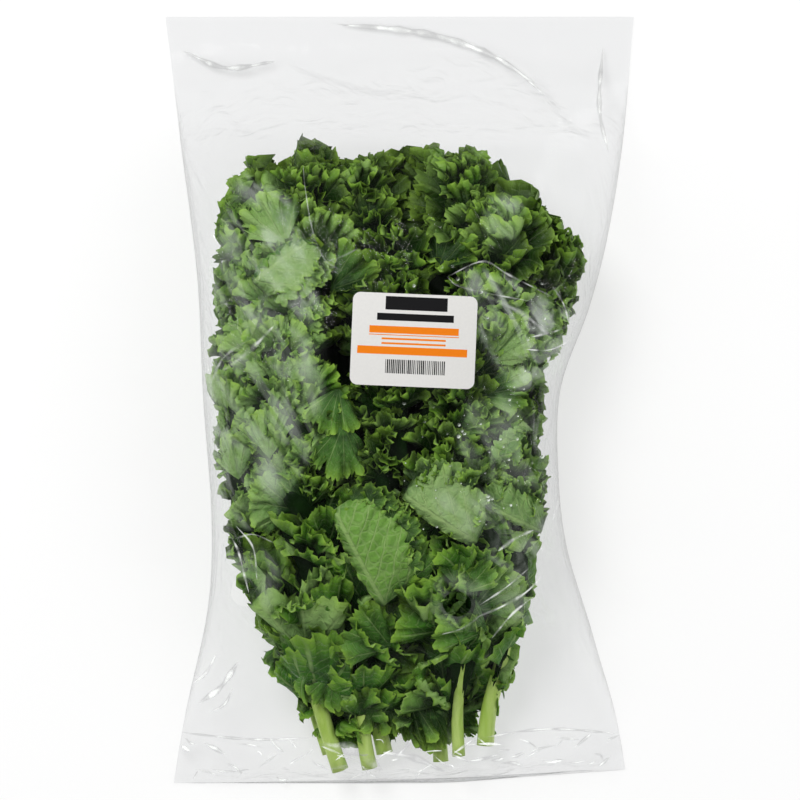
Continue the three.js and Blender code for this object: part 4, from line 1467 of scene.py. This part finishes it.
def film_material():
    """Clear film: thin gloss that catches the lamps along its folds, and mist where it clings, which glows
    faintly as painted light.
    """
    finish = Finish("film_clear")
    finish.nodes.remove(finish.shader)
    creases = finish.noise(70, 3.0, 1.5, vector=finish.placed(turn=24, stretch=(1, 3, 1)))
    normal = finish.bump(creases, 0.7, 2.0)
    clear = finish.add("ShaderNodeBsdfTransparent")
    finish.fill(clear, Color=(0.978, 0.979, 0.98, 1))
    passing = finish.add("ShaderNodeBsdfTransparent")
    finish.fill(passing, Color=(0.97, 0.97, 0.97, 1))
    haze = finish.add("ShaderNodeBsdfPrincipled")
    finish.fill(haze, Base_Color=(0.87, 0.97, 0.85, 1), Roughness=0.5)
    # Painted light: the mist glows a little, so that it stays white.
    finish.fill(haze, Emission_Color=WHITE, Emission_Strength=0.1)
    gloss = finish.add("ShaderNodeBsdfGlossy")
    finish.fill(gloss, Roughness=0.07, Normal=normal)
    edge_on = finish.add("ShaderNodeLayerWeight")
    finish.fill(edge_on, Blend=0.5, Normal=normal)
    shine = finish.math("POWER", edge_on.outputs["Facing"], 3.0)
    shine = finish.math("MULTIPLY_ADD", shine, 0.5, 0.003)
    streaks = finish.noise(75, 5.0, 1.4, vector=finish.placed(turn=35, stretch=(1, 4, 1)))
    streaks = finish.ramp(streaks, 0.42, 0.6, 0.2, 2.6)
    clouded = finish.math("MULTIPLY", finish.attribute("mist")["Fac"], streaks, clamp=True)
    film = finish.layered(clouded, clear.outputs[0], haze.outputs[0])
    film = finish.layered(shine, film, gloss.outputs[0])
    # Light that only passes through on its way to the leaves isn't bent or scattered by so thin a film.
    ray = finish.add("ShaderNodeLightPath").outputs
    simple = finish.math("MAXIMUM", ray["Is Shadow Ray"], ray["Is Diffuse Ray"])
    film = finish.layered(simple, film, passing.outputs[0])
    finish.fill(finish.nodes["Material Output"], Surface=film)
    return finish.material


def fold_highlight_material():
    """The sharp folds of the film: painted highlights, pale glowing lines that fade in and out."""
    finish = Finish("film_fold_highlight")
    broken = finish.noise(130, 4.0, 0.5)
    fading = finish.ramp(broken, 0.35, 0.6, 0.25, 1.2)
    share = finish.math("MULTIPLY", finish.attribute("mist")["Fac"], fading)
    finish.surface(Base_Color=(0.7, 0.73, 0.7, 1), Roughness=finish.ramp(broken, 0.3, 0.7, 0.25, 0.5))
    # Painted highlight: the folds glow so that they show white.
    finish.surface(Emission_Color=WHITE, Emission_Strength=0.5)
    finish.surface(Alpha=finish.math("MINIMUM", share, 0.95), Normal=finish.bump(broken, 0.3, 0.5))
    return finish.material


def add_ridge(pile, places, half_width, pale):
    """A slim fold that lies on the film along a smooth line through a few places, painted pale along its
    top and bottom as a highlight.
    """
    places = np.array(places, float)
    spans = np.concatenate([[0], np.cumsum(np.linalg.norm(np.diff(places, axis=0), axis=1))])
    at = np.linspace(0, spans[-1], FOLD_STEPS)
    x = smooth_curve(np.stack([spans, places[:, 0]], 1))(at)
    y = smooth_curve(np.stack([spans, places[:, 1]], 1))(at)
    x, y = warped_foot(x, y)
    share = np.linspace(-1, 1, FOLD_STEPS)
    width = half_width * (1 - share**2) ** 0.6 * (1 + 0.35 * np.sin(at / 2.3 + spans[-1])) + 0.04
    z = film_height(x, y) + wrinkles(x, y) * (1 - 0.8 * smoothstep(-y, *FOOT)) + 0.25
    line = np.stack([x, y, z], -1)
    ahead = unit(np.gradient(line, axis=0))
    level = unit(np.cross(ahead, np.array([0.0, 0.0, 1.0])))
    up = np.cross(level, ahead)
    ring = [level * width[:, None], up * width[:, None] * 0.15, -level * width[:, None], -up * 0.08]
    points = np.stack([line + offset for offset in ring], 1)
    faces = ring_faces(FOLD_STEPS, 4)
    flat = np.concatenate([points.reshape(-1, 3), line[:1], line[-1:]])
    tones = np.full((len(flat), 3), pale)
    broken = 0.3 + 0.9 * np.clip(soft_noise(x, y, 7, 8) + 0.5, 0, 1)
    # Painted highlight: paler along the fold's top and bottom than at its sides.
    around = np.array([0.1, 1, 0.1, 1])
    tones[:-2].reshape(FOLD_STEPS, 4, 3)[:] *= broken[:, None, None] * around[None, :, None]
    pile.add(flat, faces, np.zeros((len(flat), 2)), tones, 1)


def add_drop(pile, x, y, radius, draw):
    """A low round drop on the film, with a painted glint: paler on the side away from the key light."""
    turn = np.linspace(0, -2 * math.pi, 10, endpoint=False)[None, :]
    rise = np.linspace(0, 1, 3)[:, None]
    spread = radius * np.cos(rise * math.pi / 2 * 0.9) * (1 + 0.15 * math.sin(9 * draw) * np.cos(2 * turn))
    height = 0.45 * radius * np.sin(rise * math.pi / 2)
    base = float(film_height(x, y)) + float(wrinkles(np.array([x]), np.array([y]))[0]) + 0.05
    points = np.stack([x + spread * np.cos(turn), y + spread * np.sin(turn), base + height + 0 * turn], -1)
    flat = np.concatenate([points.reshape(-1, 3), [[x, y, base - 0.1]], [[x, y, base + 0.5 * radius]]])
    # Painted glint: a pale crescent on one side of the drop.
    pale = (0.5 + 0.5 * np.cos(turn + 0.9)) ** 3 * (1 - rise) * 0.85 + 0.05
    tones = np.repeat(np.append(pale.ravel(), [0.1, 0.02])[:, None], 3, axis=1)
    pile.add(flat, ring_faces(3, 10), np.zeros((len(flat), 2)), tones)


def add_mist(piece, values):
    mesh = piece.data
    mesh.attributes.new("mist", "FLOAT", "POINT").data.foreach_set("value", values.astype(np.float32))


def make_film_details(materials):
    """The sharp folds in the film and the drops of water inside it, both with painted highlights."""
    pile = Pile()
    for places, half_width, pale in FOLD_LINES:
        add_ridge(pile, places, half_width, pale)
    for i in range(CRUMPLES):
        x = lerp(-106, 106, (i + 0.5 * chance(i + 1, 6, 1)) / CRUMPLES)
        y = -183 + 20 * chance(i + 1, 6, 2)
        turn = math.radians(-50 + 110 * chance(i + 1, 6, 3))
        span = 3 + 9 * chance(i + 1, 6, 4)
        bend = 1.6 * (chance(i + 1, 6, 5) - 0.5)
        ends = [(x - span * math.cos(turn) / 2, y - span * math.sin(turn) / 2)]
        ends += [(x + bend, y + bend), (x + span * math.cos(turn) / 2, y + span * math.sin(turn) / 2)]
        ends = [(max(min(a, 106), -106), max(min(b, -150), -183)) for a, b in ends]
        add_ridge(pile, ends, 0.25 + 0.6 * chance(i + 1, 6, 6) ** 2, 0.5 + 0.5 * chance(i + 1, 6, 7))
    for i in range(DROPS):
        x = lerp(*DROP_AREA[:2], chance(i + 1, 10, 1))
        y = lerp(*DROP_AREA[2:], chance(i + 1, 10, 2))
        u, v = label_axes(x, y)
        if abs(u) > LABEL_WIDTH / 2 + 2 or abs(v) > LABEL_DEPTH / 2 + 2:
            add_drop(pile, x, y, 0.3 + 0.75 * chance(i + 1, 10, 3) ** 2, chance(i + 1, 10, 4))
    details = pile.make("film_folds", materials)
    add_mist(details, np.concatenate(pile.tones)[:, 0])
    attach(details, BODY)


def label_reach(v):
    """How far the label reaches to either side of its middle: less where its corners are round."""
    into_corner = np.maximum(np.abs(v) - (LABEL_DEPTH / 2 - LABEL_CORNER), 0)
    return LABEL_WIDTH / 2 - LABEL_CORNER + np.sqrt(np.maximum(LABEL_CORNER**2 - into_corner**2, 0))


def on_label(u, v, lift):
    cos, sin = math.cos(math.radians(LABEL_TURN)), math.sin(math.radians(LABEL_TURN))
    x, y = LABEL_PLACE[0] + u * cos - v * sin, LABEL_PLACE[1] + u * sin + v * cos
    return np.stack([x, y, film_height(x, y) + lift], -1)


def label_sheet(u_low, u_high, v_low, v_high, base, thickness, reach=None, steps=(24, 18)):
    """A thin closed card on the film, as points and faces."""
    v = np.linspace(v_low, v_high, steps[1] + 1)
    if reach is not None:
        turn = np.linspace(0, math.pi / 2, 7)
        ends = LABEL_DEPTH / 2 - LABEL_CORNER * (1 - np.sin(turn))
        v = np.unique(np.concatenate([-ends, np.linspace(-ends[0], ends[0], steps[1]), ends]))
    v = v[:, None]
    share = np.linspace(0, 1, steps[0] + 1)[None, :]
    u = lerp(u_low, u_high, share) + 0 * v if reach is None else (2 * share - 1) * reach(v)
    v = v + 0 * u
    sheets = [on_label(u, v, base + thickness), on_label(u, v, base)]
    rows, cols = u.shape
    count = rows * cols
    faces = sheet_grid(rows - 1, cols - 1)[2]
    faces += [tuple(i + count for i in reversed(face)) for face in faces]
    rim = list(range(cols)) + [row * cols + cols - 1 for row in range(1, rows)]
    rim += [(rows - 1) * cols + i for i in range(cols - 2, -1, -1)]
    rim += [row * cols for row in range(rows - 2, 0, -1)]
    for i, a in enumerate(rim):
        b = rim[(i + 1) % len(rim)]
        faces.append((b, a, a + count, b + count))
    return np.concatenate([sheet.reshape(-1, 3) for sheet in sheets]), faces


def make_label(materials):
    names = [material.name for material in materials]
    pile = Pile()

    def add(sheet, finish):
        points, faces = sheet
        pile.add(points, faces, np.zeros((len(points), 2)), np.zeros((len(points), 3)), names.index(finish))

    def add_bar(finish, u, wide, v_low, v_high, steps):
        base = LABEL_GAP + LABEL_THICKNESS - PRINT_SUNK
        edges = (u - wide / 2, u + wide / 2, v_low, v_high)
        add(label_sheet(*edges, base, INK + PRINT_SUNK, steps=steps), finish)

    add(label_sheet(0, 0, 0, 0, LABEL_GAP, LABEL_THICKNESS, reach=label_reach), "label_paper")
    for finish, u, v, wide, deep in PRINT:
        add_bar(finish, u, wide, v - deep / 2, v + deep / 2, (16, 2))
    left, right, low, high = STRIPE_AREA
    pitch = (right - left) / STRIPES
    for i in range(STRIPES):
        wide = pitch * (0.3 + 0.45 * chance(i + 1, 5, 6))
        add_bar("ink_black", left + (i + 0.5) * pitch, wide, low, high, (1, 4))
    label = pile.make("label_card", materials, sharp=40)
    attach(label, BODY)
    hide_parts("label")


def grain_effect():
    """The faint grain that paper and ink share."""
    sockets = {"Place": "Vector", "Dark": "Color", "Light": "Color"}
    effect = Effect("print_grain", sockets, {"Color": "Color", "Relief": "Float"})
    grain = effect.noise(900, 2.0)
    color = effect.mix(grain, effect.given["Dark"], effect.given["Light"])
    effect.fill(effect.result, Color=color, Relief=grain)
    return effect.tree


def plain_material(name, color, roughness, effect, shine=0.5):
    finish = Finish(name)
    darker = [0.92 * channel for channel in color]
    look = finish.place(effect, Dark=(*darker, 1), Light=(*color, 1))
    finish.surface(Base_Color=look["Color"], Normal=finish.bump(look["Relief"], 0.15, 0.05))
    finish.surface(Roughness=roughness, Specular_IOR_Level=shine)
    return finish.material


def make_stage():
    bpy.ops.mesh.primitive_plane_add(size=FLOOR_SIZE, location=(0, 0, FLOOR_LEVEL))
    floor = bpy.context.active_object
    floor.name = "floor"
    finish = Finish("floor_white")
    finish.surface(Base_Color=FLOOR_GREY, Roughness=0.9, Specular_IOR_Level=0.0)
    finish.surface(Emission_Color=WHITE, Emission_Strength=FLOOR_GLOW)
    floor.data.materials.append(finish.material)


def make_camera():
    bpy.ops.object.camera_add(location=(CAMERA_ASIDE, 0, CAMERA_HEIGHT), rotation=(0, 0, 0))
    camera = bpy.context.active_object
    camera.data.sensor_width = SENSOR
    camera.data.lens = SENSOR * (CAMERA_HEIGHT - VIEW_LEVEL) / VIEW_WIDTH
    camera.data.clip_end = 20
    bpy.context.scene.camera = camera


def make_lights():
    for name, place, wide, long, power in LAMPS:
        bpy.ops.object.light_add(type="AREA", location=place)
        light = bpy.context.active_object
        light.name = name
        light.data.shape = "RECTANGLE"
        light.data.size = wide
        light.data.size_y = long
        light.data.energy = power
        light.rotation_euler = (-Vector(place)).to_track_quat("-Z", "Y").to_euler()
    world = bpy.data.worlds.new("studio")
    world.use_nodes = True
    background = world.node_tree.nodes["Background"]
    background.inputs["Color"].default_value = WHITE
    background.inputs["Strength"].default_value = WORLD_LIGHT
    bpy.context.scene.world = world
    bpy.context.scene.view_settings.view_transform = "Standard"


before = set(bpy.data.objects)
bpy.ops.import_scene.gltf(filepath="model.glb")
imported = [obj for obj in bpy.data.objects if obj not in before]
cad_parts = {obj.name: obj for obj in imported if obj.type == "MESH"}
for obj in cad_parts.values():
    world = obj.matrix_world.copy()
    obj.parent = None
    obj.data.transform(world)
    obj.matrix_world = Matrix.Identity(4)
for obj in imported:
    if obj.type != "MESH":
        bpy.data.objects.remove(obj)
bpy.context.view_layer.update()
bpy.ops.object.select_all(action="DESELECT")

blade = blade_effect()
leaf_materials = [
    blade_material("kale_curl", fan_veins, blade),
    stem_material(),
    blade_material("kale_face", rib_veins, blade),
    hollow_shade_material(),
]
for leaf_number, one_leaf in enumerate(LEAVES):
    make_leaf(one_leaf, leaf_number, leaf_materials)

film = film_material()
make_bag(film)
make_film_details([film, fold_highlight_material()])
grain = grain_effect()
make_label([
    plain_material("label_paper", (0.87, 0.86, 0.83), 0.5, grain),
    plain_material("ink_black", (0.008, 0.008, 0.009), 0.6, grain, shine=0.1),
    plain_material("ink_orange", (1.0, 0.25, 0.008), 0.6, grain, shine=0.1),
])

make_stage()
make_camera()
make_lights()
